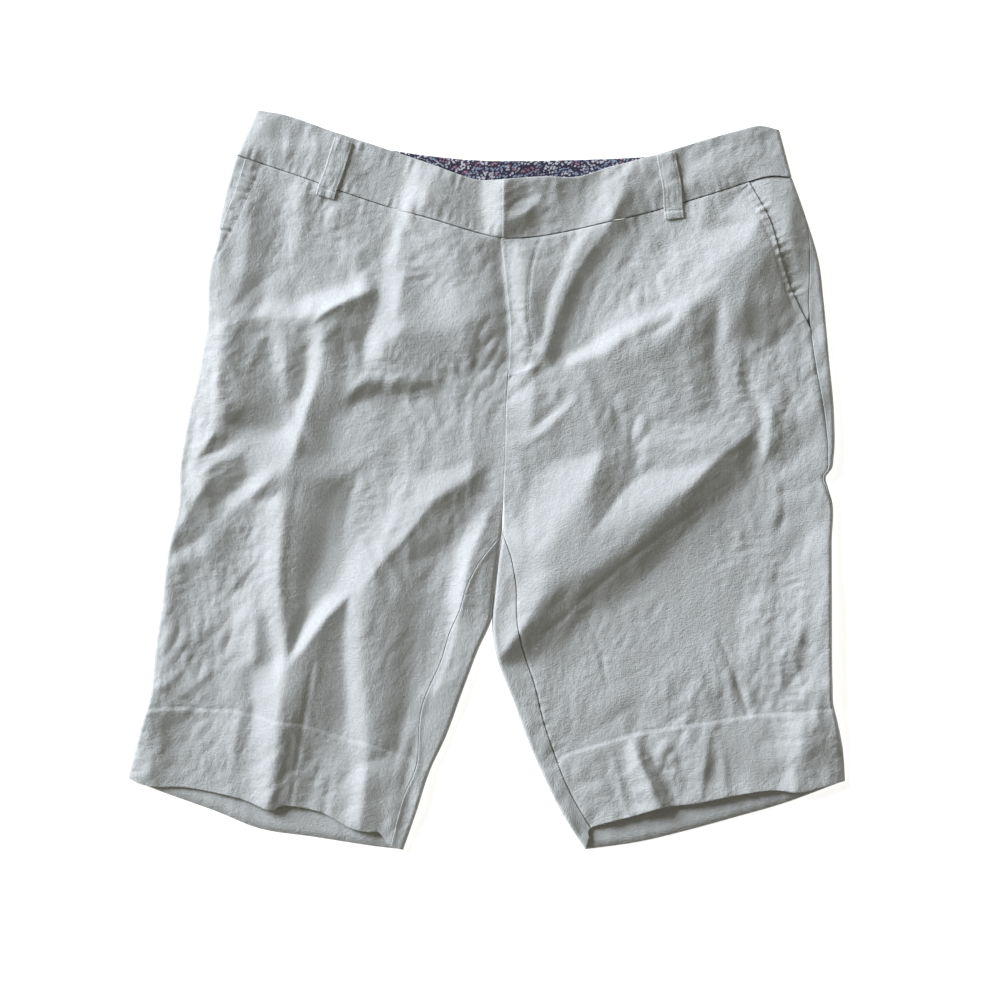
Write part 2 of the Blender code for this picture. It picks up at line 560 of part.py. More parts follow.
def front_panel(side, tube):
    seams = Seams(side)
    half = SEAM_GAP / 2
    is_right = side == "right"

    def along(v):
        span = tube.span(v)
        start = np.where(v < seams.mouth_foot, seams.mouth(v), seams.side_seam(v)) + half
        end = span - half - CENTRE_SEAM_EASE * (1 - tube.closing(v)) - seams.inseam(v)
        if is_right:
            end = end + LAP_WIDTH * ramp(tube.inner(v)[1], LAP_FOOT_Y, LAP_FOOT_Y + 24)
        return columns(start, end, FRONT_COLUMNS, [0 * span, span])

    def surface(v, a):
        if not is_right:
            return tube.lap_point(v, a, 0.0)
        span = tube.span(v)
        lowered = ramp(tube.inner(v)[1], LAP_FOOT_Y - 16, LAP_FOOT_Y + 2)
        dip = ramp(a, span - LAP_DIP[0], span - LAP_DIP[1])
        return tube.lap_point(v, a, LAYER_STEP * lowered * dip)

    v = leg_rows()
    middle, normal = middle_and_normal(surface, v, along, turn_of(side))
    wall("front_" + side, middle, normal, CREAM, hem_wall(v)[:, None], turn_of(side))


def back_panel(side, tube):
    seams = Seams(side)
    half = SEAM_GAP / 2

    def along(v):
        span = tube.span(v)
        start = span + half + CENTRE_SEAM_EASE * (1 - tube.closing(v)) - seams.inseam(v)
        end = 2 * span + seams.side_seam(v) - half
        return columns(start, end, BACK_COLUMNS, [span, 2 * span], coarse=30.0)

    def surface(v, a):
        span = tube.span(v)
        past_side = a > 2 * span
        return tube.point(v, np.where(past_side, a - 2 * span, a), tube.fold_drop(v) * past_side)

    v = leg_rows()
    middle, normal = middle_and_normal(surface, v, along, turn_of(side))
    wall("back_" + side, middle, normal, CREAM, hem_wall(v)[:, None], turn_of(side))


def pocket_bearer(side, tube):
    """Cloth behind the pocket mouth, from under the front to the side seam."""
    seams = Seams(side)

    def along(v):
        tucked = BEARER_TAPER * ramp(v, seams.mouth_foot - 0.09, seams.mouth_foot - 0.02)
        start = seams.side_seam(v) + SEAM_GAP / 2 + tucked
        return columns(start, seams.mouth(v) + BEARER_UNDERCUT, BEARER_COLUMNS, [0 * v], coarse=6.0)

    v = leg_rows()
    v = v[v < seams.mouth_foot + 0.03]
    middle, normal = middle_and_normal(lambda v, a: tube.lap_point(v, a, LAYER_STEP), v, along,
                                       turn_of(side))
    wall("pocket_bearer_" + side, middle, normal, CREAM, turned=turn_of(side))


# ---- waist -------------------------------------------------------------------------------------
def band_tube():
    """Waistband as a tube lying across: outer end at the right side, inner end at the left side."""
    def end(corners):
        (top_x, top_y), (seam_x, seam_y) = corners
        return lambda v: (top_x + (seam_x - top_x) * np.asarray(v), top_y + (seam_y - top_y) * np.asarray(v))
    return Tube(outer=end(BAND_RIGHT_END), inner=end(BAND_LEFT_END), top=WAIST_TOP, foot=WAIST_SEAM,
                back_top=BACK_TOP, back_foot=BACK_SEAM, edge_reach=1)


def length_at_x(tube, x):
    """Cloth length from the outer fold to the top-layer point of a row at x, middle of the band."""
    span = float(tube.span(np.array(0.5)))
    trial = np.linspace(0, span, 500)
    xs = tube.point(np.full(500, 0.5), trial)[:, 0]
    return float(np.interp(x, xs, trial))


def waistband(tube):
    """One strip from the underlap on the right front, round the back, to the lap's edge."""
    lap_edge = length_at_x(tube, LAP_EDGE_X)

    def along(v):
        span = tube.span(v)
        start = np.full(len(v), lap_edge + LAP_WIDTH)
        return columns(start, lap_edge - 2 * span, BAND_COLUMNS, [0 * span, -span], fine=1.6, coarse=13.0)

    def surface(v, a):
        span = tube.span(v)
        turned = np.where(a < -span, a + 2 * span, a)
        return tube.point(v, turned, LAYER_STEP * ramp(a, lap_edge - LAP_DIP[0], lap_edge - LAP_DIP[1]))

    v = np.linspace(0, 1 - WAIST_GAP / 2 / BAND_DEPTH, BAND_ROWS + 1)
    middle, normal = middle_and_normal(surface, v, along)
    wall("waistband", middle, normal, CREAM)
    waistband_facing(tube, along(v), middle, normal, v)


def waistband_facing(tube, a, middle, normal, v):
    """Printed facing: the back of the waistband's own points, one layer further in."""
    clear_of_folds = 9.0
    span = tube.span(v)[:, None]
    kept = np.all((a < -clear_of_folds) & (a > -span + clear_of_folds), axis=0)
    facing_step = WALL + SEAM_GAP
    inner = middle[:, kept] - normal[:, kept] * facing_step
    margin = 1.0 / BAND_DEPTH
    inner[0] += (inner[1] - inner[0]) * margin * BAND_ROWS
    inner[-1] += (inner[-2] - inner[-1]) * margin * BAND_ROWS
    wall("waistband_facing", inner, normal[:, kept], PRINT_GROUND)


def flat_strip(name, x, y, z):
    """Belt loop: a strip whose rows run across it from its left side, one below another."""
    middle = np.stack([x, y, z], axis=-1)
    normal = np.cross(np.gradient(middle, axis=1), np.gradient(middle, axis=0))
    normal /= np.linalg.norm(normal, axis=2, keepdims=True)
    wall(name, middle, normal, CREAM)


def strip_grid(head, foot, width):
    """Plan points of a strip from head to foot (x, y)."""
    t = np.linspace(0, 1, 7)[:, None]
    across = np.linspace(0.5, -0.5, 3)[None, :]
    dx, dy = foot[0] - head[0], foot[1] - head[1]
    length = math.hypot(dx, dy)
    x = head[0] + dx * t - across * width * dy / length
    y = head[1] + dy * t + across * width * dx / length
    return x, y


def belt_loops():
    """Two loops over the front of the band, three under its back, flat on the surface."""
    for name, head, foot in FRONT_LOOPS:
        x, y = strip_grid(head, foot, LOOP_WIDTH)
        flat_strip(name, x, y, top_height(x, y) + LAYER_STEP)
    for name, middle_x in BACK_LOOPS.items():
        top_y = float(smooth_curve(BACK_TOP, middle_x)) - 2
        foot_y = float(smooth_curve(BACK_SEAM, middle_x)) - LOOP_TAIL
        x, y = strip_grid((middle_x, top_y), (middle_x, foot_y), LOOP_WIDTH)
        flat_strip(name, x, y, np.full(x.shape, WALL / 2))


def main():
    for item in list(bpy.data.objects):
        bpy.data.objects.remove(item)
    for side in ("left", "right"):
        tube = leg_tube(side)
        front_panel(side, tube)
        back_panel(side, tube)
        pocket_bearer(side, tube)
    waistband(band_tube())
    belt_loops()


main()
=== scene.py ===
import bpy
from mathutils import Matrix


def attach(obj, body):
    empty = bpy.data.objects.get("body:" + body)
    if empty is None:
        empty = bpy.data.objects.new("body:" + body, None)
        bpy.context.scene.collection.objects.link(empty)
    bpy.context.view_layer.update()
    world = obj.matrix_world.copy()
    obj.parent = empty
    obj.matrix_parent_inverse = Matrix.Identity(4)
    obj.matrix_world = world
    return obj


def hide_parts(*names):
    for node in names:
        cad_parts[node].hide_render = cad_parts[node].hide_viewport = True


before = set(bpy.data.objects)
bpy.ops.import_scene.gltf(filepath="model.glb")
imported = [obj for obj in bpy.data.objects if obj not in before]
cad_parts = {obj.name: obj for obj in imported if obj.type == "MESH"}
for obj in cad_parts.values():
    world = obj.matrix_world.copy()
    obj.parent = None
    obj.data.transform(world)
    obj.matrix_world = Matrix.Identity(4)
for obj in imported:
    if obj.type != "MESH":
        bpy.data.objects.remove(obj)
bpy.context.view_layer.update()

"""Looks of the linen bermuda shorts that lie flat, front up.

Frame: +X to the wearer's left, +Y towards the waist, +Z up from the surface the shorts lie on.
Garment sizes are in millimetres and MM turns them into metres when a mesh is made.

Each leg is a flattened tube.  Across a row of it one coordinate, a, runs in cloth length from the outer
fold over the top to the inner fold, and on below back to the outer fold; v runs down it from the waist
seam to the hem.  Panels are ranges of that tube.  The top layer follows a net of heights: the facets of
the creased cloth, which come down at the hems, then small folds, the linen's own crumple, the doubled
hems, and the puckers and grooves along each line of sewing.
"""
import math

import bpy
import numpy as np
from mathutils import Vector

MM = 0.001

# ---- driving sizes, mm ----
CLOTH = 0.8  # thickness of one layer with its nap
HALF = CLOTH / 2
HEM_DEPTH = 56.0  # turned-up hem, a second layer inside each leg
BAND_DEPTH = 48.0
LAYER_STEP = 1.2  # rise from one layer to the next
BASE_HEIGHT = 7.2  # where the cloth's middle lies with no crease near it
FOLD_RADIUS = 3.2  # of the side and inner-leg folds, in plan
ARC_GAIN = FOLD_RADIUS * (math.pi / 2 - 1)
SEAM_GAP = 0.25  # between panels that are sewn edge to edge
CENTRE_GAP = 0.1  # more of it on each side of the centre seam
SEAM_DIP = 0.6  # how far a panel rolls down into a seam
SEAM_ROLL = 1.5  # how far from the seam the roll starts
RIGHT_INSEAM_LIFT = 0.8  # how far the back's edge stands over the front at the right inseam
RIGHT_INSEAM_ROLL = 3.0  # how far from its edge it has come down again
LAP_WIDTH = 23.0  # fly underlap
LAP_FOOT_Y = 86.0
LAP_TAPER = 24.0  # rise of y over which the underlap comes to its full width
LAP_DIP = (14.0, 1.5)  # how far before the lap's edge the underlap starts and ends to step down
LAP_DIP_Y = (16.0, 2.0)  # y below and above the lap's foot where that step starts and is whole
LAP_EDGE_X = 11.0
BEARER_UNDERCUT = 24.0  # how far a pocket bearer runs on under the front
BEARER_TAPER = 5.0  # how far its foot is tucked in from the side seam
LEG_LENGTH = 485.0
LOOP_WIDTH = 15.5
LOOP_TAIL = 12.0  # how far a belt loop hangs below the waist seam
LOOP_ROOM = 0.4  # between a loop of the back and the cloth over it
LOOP_BED = 10.0  # how far round such a loop that cloth is fully lifted
LOOP_BED_SIDE = 22.0  # how far beside the loop, and how far below it, it is down on the surface
LOOP_BED_FOOT = 26.0
CENTRE_X = -2.0  # middle of the finished outline
CENTRE_Y = 0.0

# ---- outlines, mm: (y, x) down each edge ----
RIGHT_OUTER = [(260, -202.5), (233, -210.5), (207, -216), (192, -218), (170, -224), (126, -226.5),
    (82, -234), (45, -242), (6, -248), (-20, -249), (-45, -255), (-100, -263), (-140, -268), (-174, -272),
    (-194, -278), (-239, -289)]
LEFT_OUTER = [(242, 242), (211, 253), (176, 263.5), (140, 268), (96, 272), (49, 276), (18, 275.5),
    (9, 274), (3, 269.5), (-6, 271), (-16, 274), (-50, 274), (-100, 274), (-165, 274.5), (-178, 275),
    (-195, 279), (-215, 283), (-241, 285)]
CENTRE_FRONT = [(242, 11), (218, 8.5), (195, 9.5), (170, 12), (142, 15), (119, 17), (95, 16), (65, 14),
    (20, 13), (0, 12), (-25, 11.5), (-40, 11)]
RIGHT_INNER = [(-40, 10.4), (-60, 7.4), (-90, 4.0), (-111, 1.8), (-136, -9), (-169, -21.5), (-208, -36),
    (-230, -46.5), (-266, -58.5), (-296, -69)]
LEFT_INNER = [(-40, 11.6), (-60, 8.3), (-90, 4.9), (-111, 2.8), (-140, 6.0), (-178, 20.2), (-211, 32.4),
    (-233, 42), (-269, 60), (-296, 77.5)]

# Edges that cross the garment, mm: (x, y).
WAIST_TOP = [(-186, 296), (-160, 291), (-124, 278.5), (-87, 266.5), (-49, 253.5), (-26, 245), (-8, 240),
    (10, 240), (43, 242.5), (70, 242.5), (95, 250), (109, 253.5), (133, 260), (166, 270), (196, 278.5),
    (216, 283), (232, 280)]
WAIST_SEAM = [(-202, 260), (-150, 242.5), (-118, 231), (-80, 218.5), (-45, 208.5), (-15, 199.5),
    (11, 193.5), (40, 195), (74, 201.5), (125, 213.5), (180, 229.5), (206, 238), (224, 242.5), (242, 242)]
BACK_TOP = [(-186, 295), (-160, 288), (-124, 276), (-87, 265.5), (-70, 262.5), (-40, 258.5), (0, 255.5),
    (50, 256), (90, 257.2), (115, 258.2), (133, 260), (150, 263.5), (166, 268), (196, 275.5), (232, 280)]
BACK_SEAM = [(-202, 260), (-140, 236), (-70, 216), (0, 206), (60, 205), (120, 211), (180, 224),
    (242, 242)]
RIGHT_HEM = [(-289, -239), (-272, -245), (-240, -246.5), (-200, -255), (-176, -264), (-163, -260.5),
    (-135, -266), (-112, -278), (-98, -281.5), (-88, -282), (-80, -292), (-69, -296)]
LEFT_HEM = [(285, -241), (265, -246), (248, -250), (225, -248.5), (195, -253), (165, -259), (139, -262),
    (115, -269), (83, -278), (80, -287), (77.5, -296)]
RIGHT_BACK_HEM = [(-289, -239), (-262, -250), (-220, -265), (-183, -279.5), (-140, -286), (-95, -293),
    (-69, -296)]
LEFT_BACK_HEM = [(285, -241), (238, -258.5), (200, -269.5), (160, -280.5), (120, -290), (77.5, -296)]
BAND_RIGHT_END = ((-186, 296), (-202.5, 260))
BAND_LEFT_END = ((232, 280), (242, 242))
FRONT_SEAM_Y = 193.5
BACK_SEAM_Y = 205.6
CENTRE_SEAM_X = 10.0

# Width of back panel that shows on top beside the inner-leg fold and the side fold, mm: (v, width).
CROTCH_V = 0.478
RIGHT_INSEAM = [(0.478, 0), (0.55, 19), (0.61, 28), (0.65, 29), (0.70, 27), (0.82, 25), (0.86, 14),
    (0.93, 15), (1.0, 12)]
LEFT_INSEAM = [(0.478, 0), (0.53, 14), (0.59, 24), (0.66, 27), (0.73, 27), (0.81, 24), (0.90, 21),
    (1.0, 19)]
LEFT_SIDE_WRAP = [(0.0, 1), (0.08, 3), (0.15, 10), (0.22, 14), (0.30, 13), (0.40, 9), (0.47, 6),
    (0.55, 1.5), (0.62, 0), (1.0, 0)]
# Pocket mouths, as the distance of the front's cut edge from the outer fold, mm: (v, width).
RIGHT_MOUTH = [(0.0, 10), (0.055, 9.5), (0.11, 5), (0.16, 2.5), (0.20, 0)]
LEFT_MOUTH = [(0.0, 36), (0.065, 31), (0.13, 31), (0.17, 28), (0.21, 21.5), (0.25, 14)]

# ---- facets of the creased cloth, mm ----
# Each is a patch between two lines of x,y pairs: the upper line lies towards the waist and the right
# side, the lower one towards the hem and the left side.  The two numbers before them say how steeply the
# cloth falls towards the lower line beside the upper one and beside the lower one, or climbs where they
# are below 0.  A patch lies over the ones before it.  Where one that climbs meets one that falls there
# is a crest, and the other way round there is a furrow.
FACETS = {
    # wearer's right hip
    "right band end": (-.24, -.2, [-203,260, -195,278, -187,296], [-193,258, -186,275, -176,292]),
    "right band end, over": (.08, .05, [-178,292, -162,290], [-172,280, -158,284]),
    "right band end, under": (.14, .16, [-203,258, -192,264, -180,263], [-198,248, -186,247, -177,250]),
    "right band crease": (-.2, -.2, [-188,273, -168,270, -150,271, -136,273],
        [-188,269, -168,265, -150,266, -136,268]),
    "right pocket top": (.16, .18, [-200,243, -190,242, -178,242], [-197,231, -186,231, -176,230]),
    "right side edge": (-.12, -.12, [-212,235, -219,200, -224,165, -227,130],
        [-205,232, -213,200, -217,165, -218,130]),
    "right pocket swell": (-.16, -.12, [-206,206, -205,185, -208,160], [-194,206, -194,185, -199,162]),
    "right hip, outer": (.2, .22, [-193,228, -191,205, -193,185, -197,160, -205,140],
        [-173,234, -166,218, -165,200, -165,185, -170,170, -178,150, -190,132]),
    "right hip strip": (-.36, -.24,
        [-158,238, -166,222, -166,205, -166,190, -166,175, -170,165, -178,148, -186,130],
        [-142,240, -152,224, -156,205, -156,190, -157,175, -153,163, -149,148, -150,131]),
    "right hip, inner": (.12, .08, [-150,228, -146,215, -142,205], [-138,230, -134,215, -132,204]),
    "right hip streak": (-.12, -.1, [-134,222, -132,205, -130,190, -130,178],
        [-124,225, -124,205, -122,190, -124,178]),
    "right hip patch": (.06, .06, [-146,180, -140,170, -134,162], [-134,182, -126,174, -122,166]),
    "right hip ridge head": (-.16, -.16, [-120,192, -122,177, -124,162], [-106,190, -107,176, -108,163]),
    "belly furrow": (.05, .1, [-103,228, -100,205, -102,180, -103,150, -101,128],
        [-78,224, -82,200, -87,180, -89,160, -88,145, -93,126]),
    "right hip ridge": (-.5, -.76, [-102,168, -112,166, -122,162, -135,157, -146,149, -156,140],
        [-95,151, -108,145, -124,138, -135,130, -145,122]),
    "right hip ridge back": (.18, .02, [-94,150, -108,144, -124,137, -136,129],
        [-92,133, -105,125, -120,123, -135,126]),
    "right hip ridge tail": (.12, .1, [-170,128, -155,129, -140,133], [-166,117, -150,115, -136,121]),
    "belly strip": (-.44, -.44,
        [-69,242, -77,222, -82,200, -87,180, -88,160, -88,145, -93,125, -100,110, -98,98],
        [-47,242, -51,222, -55,205, -61,180, -62,160, -60,145, -64,128, -76,112, -88,98]),
    "belly": (-.14, -.1, [-62,222, -66,205, -74,180, -75,160, -72,145, -75,128],
        [-30,205, -30,185, -22,165, -12,150, -4,138, -20,124, -48,118]),
    "beside the fly": (.05, .16, [-22,192, -18,170, -8,150, -12,130, -22,100],
        [8,194, 10,170, 13,150, 15,130, 16,110, 14,86]),
    "foot of the fly": (.2, .2, [-19,126, -18,106, -15,90], [-4,130, -3,108, -4,90]),
    "under the belly": (.04, .08, [-86,110, -62,116, -38,118, -19,116], [-80,88, -60,86, -38,84, -16,86]),
    "thigh furrow": (.08, .3, [-119,122, -115,105, -113,86], [-98,124, -100,105, -100,86]),
    "groin furrow": (.7, .7, [-118,80, -102,79, -86,78], [-113,48, -100,46, -85,49, -76,57]),
    "groin furrow, inner": (.44, .4, [-86,78, -66,80, -38,78], [-78,58, -60,56, -42,64]),
    "groin dent": (.16, .16, [-54,64, -52,48], [-46,66, -43,50]),
    "groin swell": (-.18, -.1, [-99,59, -104,45, -109,28, -107,16], [-80,56, -85,40, -90,25, -98,12]),
    "groin swell, inner": (-.08, -.08, [-72,52, -60,44, -50,30], [-6,44, -10,28, -16,16]),
    "groin streak": (-.22, -.2, [-50,44, -46,30, -42,14], [-40,44, -36,30, -32,14]),
    "groin ridge back": (.1, .14, [-84,34, -86,18, -93,4], [-64,34, -68,18, -80,2]),
    # wearer's right side
    "right shin, all": (.05, .05, [-250,-20, -258,-110, -272,-236], [-200,-20, -204,-110, -214,-244]),
    "right outer strip": (-.3, -.3, [-228,128, -233,92, -239,60, -242,38],
        [-211,124, -213,100, -214,80, -212,60, -215,44]),
    "right outer strip, lower": (-.34, -.34, [-237,42, -242,10, -244,-22],
        [-211,44, -217,32, -224,14, -227,0, -232,-22]),
    "right side hollow": (.3, .26, [-208,130, -211,110, -213,90, -213,70, -211,46],
        [-175,128, -174,110, -173,90, -168,75, -165,55, -166,39]),
    "right side hollow, foot": (.42, .36, [-210,62, -210,46], [-178,60, -172,40]),
    "right thigh, outer": (.34, .36, [-164,118, -162,90, -163,62], [-148,116, -146,92, -151,64]),
    "right thigh crest": (-.2, -.3, [-144,122, -143,105, -144,90, -150,70, -157,52, -164,40],
        [-134,123, -133,108, -134,95, -139,75, -146,55, -151,40]),
    "right thigh swell": (-.1, -.32, [-204,40, -200,26, -190,8], [-151,40, -155,22, -160,4]),
    "right thigh": (.34, .34, [-133,121, -132,108, -133,95, -138,75, -145,55, -150,40, -156,20],
        [-118,123, -115,105, -113,90, -112,70, -114,50, -118,30, -117,18]),
    "right thigh, foot": (.14, .14, [-156,20, -140,20, -118,20], [-163,2, -140,1, -112,1]),
    "right thigh patch": (.15, .2, [-114,102, -113,86, -112,70], [-106,102, -104,86, -105,72]),
    "right thigh corner": (.34, .34, [-119,18, -108,14], [-106,-2, -99,2]),
    "right notch": (.26, .22, [-217,42, -224,30, -233,18], [-208,38, -212,26, -228,16]),
    "right small ridge": (-.16, -.2, [-231,17, -215,25, -201,31], [-229,10, -212,17, -197,22]),
    "right small ridge back": (.26, .2, [-224,13, -209,17, -196,22],
        [-221,-7, -212,-9, -200,-11, -193,6]),
    "right diagonal": (.26, .2, [-213,14, -222,0, -232,-12, -240,-27, -250,-42, -257,-60],
        [-200,5, -204,-8, -214,-16, -219,-30, -226,-42, -238,-52, -251,-60]),
    "right diagonal edge": (-.1, -.1, [-249,-20, -252,-35, -257,-52, -261,-68],
        [-236,-14, -240,-27, -250,-42, -257,-58]),
    "right star ridge": (-.24, -.34, [-212,-15, -200,-5, -188,4, -176,9],
        [-211,-28, -196,-17, -186,-9, -174,1]),
    "right star notch": (.26, .2, [-188,-11, -178,-2, -166,4], [-184,-18, -172,-13, -163,-4]),
    "right knee dent": (.22, .2, [-224,-38, -222,-60, -220,-78], [-196,-38, -192,-58, -195,-78]),
    "right knee ridge": (-.14, -.14, [-256,-62, -244,-54, -230,-46], [-254,-70, -242,-62, -226,-54]),
    "right knee furrow": (.18, .14, [-250,-72, -240,-64, -230,-62], [-246,-80, -236,-76, -226,-72]),
    "right side strip": (-.2, -.18, [-261,-78, -266,-120, -272,-172], [-256,-80, -259,-120, -263,-170]),
    "right side dent": (.2, .12, [-255,-80, -256,-92, -255,-104], [-236,-74, -238,-90, -243,-102]),
    "right side dent, lower": (.16, .14, [-256,-110, -255,-128], [-237,-106, -238,-124]),
    "right shin ridge": (-.1, -.1, [-228,-112, -213,-98, -200,-84], [-224,-122, -206,-110, -192,-95]),
    "right shin dent": (.12, .12, [-250,-130, -226,-126, -202,-124], [-246,-146, -222,-147, -206,-140]),
    "right shin swell": (-.06, -.06, [-224,-150, -217,-168, -213,-186],
        [-198,-146, -198,-166, -198,-184]),
    "right shin crease": (.14, .16, [-197,-148, -197,-168, -199,-187], [-190,-150, -190,-170, -191,-187]),
    "right hem swell": (-.26, -.3, [-228,-187, -224,-208, -222,-252], [-199,-190, -202,-210, -208,-252]),
    "right hem crease": (.04, .02, [-199,-190, -202,-210, -208,-240], [-190,-190, -193,-210, -199,-240]),
    "right hem corner": (.3, .24, [-270,-182, -270,-205, -270,-245], [-228,-184, -238,-205, -240,-250]),
    # wearer's right leg
    "right knee swell": (-.36, -.3, [-212,-92, -208,-120, -206,-150], [-192,-85, -187,-110, -186,-145]),
    "right crest strip": (-.2, -.34, [-183,-14, -187,-35, -191,-55, -196,-80],
        [-163,-14, -165,-40, -166,-60, -168,-80]),
    "right crest strip, middle": (-.26, -.32, [-190,-78, -185,-95, -181,-108, -176,-125, -172,-144],
        [-168,-78, -166,-95, -166,-110, -162,-130, -158,-150]),
    "right crest wedge": (.02, 0, [-184,-108, -187,-128, -186,-148], [-178,-108, -175,-128, -173,-148]),
    "right crest strip, lower": (-.32, -.36,
        [-189,-148, -187,-165, -188,-185, -190,-205, -195,-225, -198,-258],
        [-158,-148, -162,-165, -166,-185, -168,-205, -171,-225, -176,-248, -180,-266]),
    "right shin facet": (.2, .44,
        [-165,2, -164,-20, -165,-40, -166,-60, -168,-80, -166,-100, -164,-118, -160,-142],
        [-101,1, -110,-20, -118,-45, -127,-65, -136,-85, -144,-105, -152,-122, -159,-144]),
    "fork, outer": (-.36, -.32, [-94,-6, -105,-25, -112,-45, -121,-65, -130,-85],
        [-86,-6, -96,-25, -98,-45, -98,-65, -99,-85, -111,-92]),
    "fork arm": (-.54, -.54, [-136,-85, -143,-105, -151,-122, -161,-150],
        [-113,-93, -127,-106, -137,-119, -146,-132, -157,-152]),
    "fork": (-.12, -.22, [-90,-6, -99,-25, -102,-45, -102,-75],
        [-46,-16, -56,-32, -66,-45, -82,-62, -98,-82]),
    "fork streak": (-.32, -.3, [-76,-12, -84,-32, -90,-50], [-70,-14, -76,-34, -84,-52]),
    "fork head": (-.28, -.3, [-64,3, -45,7, -30,11, -14,17], [-58,-17, -43,-15, -28,-5, -13,3]),
    "fork spur": (-.36, -.36, [-63,33, -67,20, -76,5, -90,-6], [-59,32, -60,15, -62,3, -68,-10]),
    "fork back": (.24, .22, [2,20, -12,3, -28,-5, -44,-16, -56,-32, -66,-45, -82,-62, -97,-81],
        [4,2, -6,-12, -14,-25, -24,-39, -36,-56, -42,-72, -48,-95]),
    "fork back, lower": (.1, .44, [-98,-84, -98,-120, -99,-150, -98,-175, -97,-200, -95,-225],
        [-40,-93, -43,-115, -48,-140, -57,-165, -67,-190, -73,-218]),
    "fork back, hem": (0, .1, [-94,-225, -94,-245, -98,-265, -102,-282],
        [-75,-216, -78,-240, -82,-262, -87,-284]),
    "fork strip": (-.26, -.22,
        [-112,-94, -115,-115, -116,-135, -115,-160, -114,-185, -118,-205, -120,-228],
        [-101,-86, -102,-115, -104,-135, -102,-160, -99,-185, -98,-205, -98,-228]),
    "fork strip, hem": (-.5, -.56, [-122,-226, -127,-245, -132,-264], [-99,-226, -100,-250, -104,-280]),
    "right middle facet": (.28, .22,
        [-114,-95, -127,-108, -137,-121, -147,-134, -159,-152, -163,-175, -166,-200, -168,-220, -172,-245,
         -177,-266],
        [-112,-95, -115,-113, -116,-135, -115,-160, -115,-185, -119,-205, -122,-225, -127,-245,
         -133,-268]),
    "right inner strip": (-.3, -.6,
        [-4,-14, -11,-28, -19,-42, -29,-60, -35,-80, -39,-100, -44,-125, -50,-150, -58,-168],
        [-1,-30, -8,-45, -14,-60, -19,-80, -22,-100, -26,-120, -33,-145, -42,-170]),
    "right inner dent": (.12, .1, [-3,-48, -12,-70, -16,-90, -20,-112], [8,-48, 5,-80, 2,-108]),
    "right inner hem": (.1, .1, [-64,-200, -70,-225, -74,-250, -80,-288],
        [-52,-200, -60,-225, -66,-250, -74,-292]),
    # wearer's left hip
    "band lap": (-.44, -.46, [-6,241, -5,220, -3,198], [10,240, 10,220, 9,195]),
    "band behind the lap": (.42, .28, [11,240, 11,220, 11,195], [44,240, 43,218, 40,195]),
    "band streak": (-.06, -.06, [14,214, 25,223, 38,229], [17,207, 28,214, 40,220]),
    "band, left middle": (.2, .24, [44,241, 43,222, 42,204], [86,246, 82,222, 72,203]),
    "band, right of the lap": (.08, .1, [-41,244, -42,225, -46,211], [-7,239, -7,220, -7,199]),
    "band, belly": (-.28, -.24, [-68,258, -71,238], [-42,250, -48,232]),
    "band, by the loop": (.2, .14, [-113,270, -113,256, -108,240], [-106,268, -100,256, -93,240]),
    "ridge head": (-.32, -.26, [91,251, 86,235, 81,222, 76,208], [118,257, 110,242, 104,225, 97,208]),
    "left hip ridge": (-.3, -.3, [72,204, 64,185, 57,168, 50,150, 46,135, 42,118, 37,102],
        [84,204, 72,185, 64,168, 57,150, 51,135, 47,118, 44,104]),
    "left hip ridge back": (.32, .5,
        [104,224, 98,206, 86,190, 75,175, 67,160, 60,145, 54,130, 49,115, 44,100, 40,94],
        [142,218, 130,204, 123,189, 112,174, 100,162, 89,148, 80,135, 71,122, 62,108, 52,93]),
    "left hip": (-.46, -.26, [133,209, 126,189, 114,171, 105,154, 99,138, 90,122],
        [162,205, 160,190, 160,170, 158,150, 150,138, 118,128]),
    "left hip spur": (-.6, -.5, [97,168, 88,150, 80,135, 73,120], [103,166, 100,150, 97,135, 93,120]),
    "under the left band": (.12, .12, [108,232, 132,232, 160,233, 204,245],
        [108,212, 132,214, 160,220, 204,232]),
    "left pocket strip": (-.34, -.3, [158,226, 160,205, 160,188, 160,172],
        [172,226, 170,205, 170,190, 173,172]),
    "left pocket swell": (-.3, -.4, [161,198, 160,175, 157,155, 148,141],
        [216,208, 208,190, 198,173, 190,158, 177,148, 158,134]),
    "left pocket top": (-.3, -.3, [184,214, 202,228], [210,205, 221,216]),
    "left hip fold": (-.6, -.6, [60,101, 80,113, 100,123, 125,133, 150,143],
        [62,92, 85,99, 110,106, 135,116, 158,130]),
    "left hip line": (.08, .08, [96,106, 120,119, 146,133], [98,101, 122,114, 150,129]),
    "left pocket foot": (.3, .24, [223,186, 212,180, 200,169, 191,158, 192,142],
        [241,178, 242,160, 233,142, 215,137, 195,137]),
    "left side, upper": (.38, .38, [192,140, 215,141, 242,150], [202,116, 226,111, 252,118]),
    "left side facet": (.16, .18, [160,139, 160,115, 160,95, 161,75, 164,52],
        [187,150, 184,125, 181,105, 181,85, 184,58]),
    "left side line": (-.26, -.24, [185,154, 183,130, 181,108, 182,90],
        [193,157, 192,130, 188,108, 186,90]),
    "left side swell": (-.08, -.06, [184,106, 182,85, 187,60], [200,112, 199,85, 200,60]),
    "left curl": (.2, .24, [200,114, 200,88, 201,70, 206,52, 210,36],
        [206,110, 206,88, 208,70, 214,52, 219,38]),
    "left curl swell": (-.14, -.14, [207,90, 208,70, 214,54], [222,88, 220,72, 221,62]),
    "left sliver": (-.36, -.4, [218,64, 217,48, 217,32, 214,18, 210,4],
        [224,63, 225,48, 223,32, 220,18, 214,3]),
    "left sliver back": (.26, .18, [225,54, 224,35, 220,14], [245,50, 247,35, 246,14]),
    "left edge ridge": (-.14, -.14, [243,54, 256,70], [250,45, 265,62]),
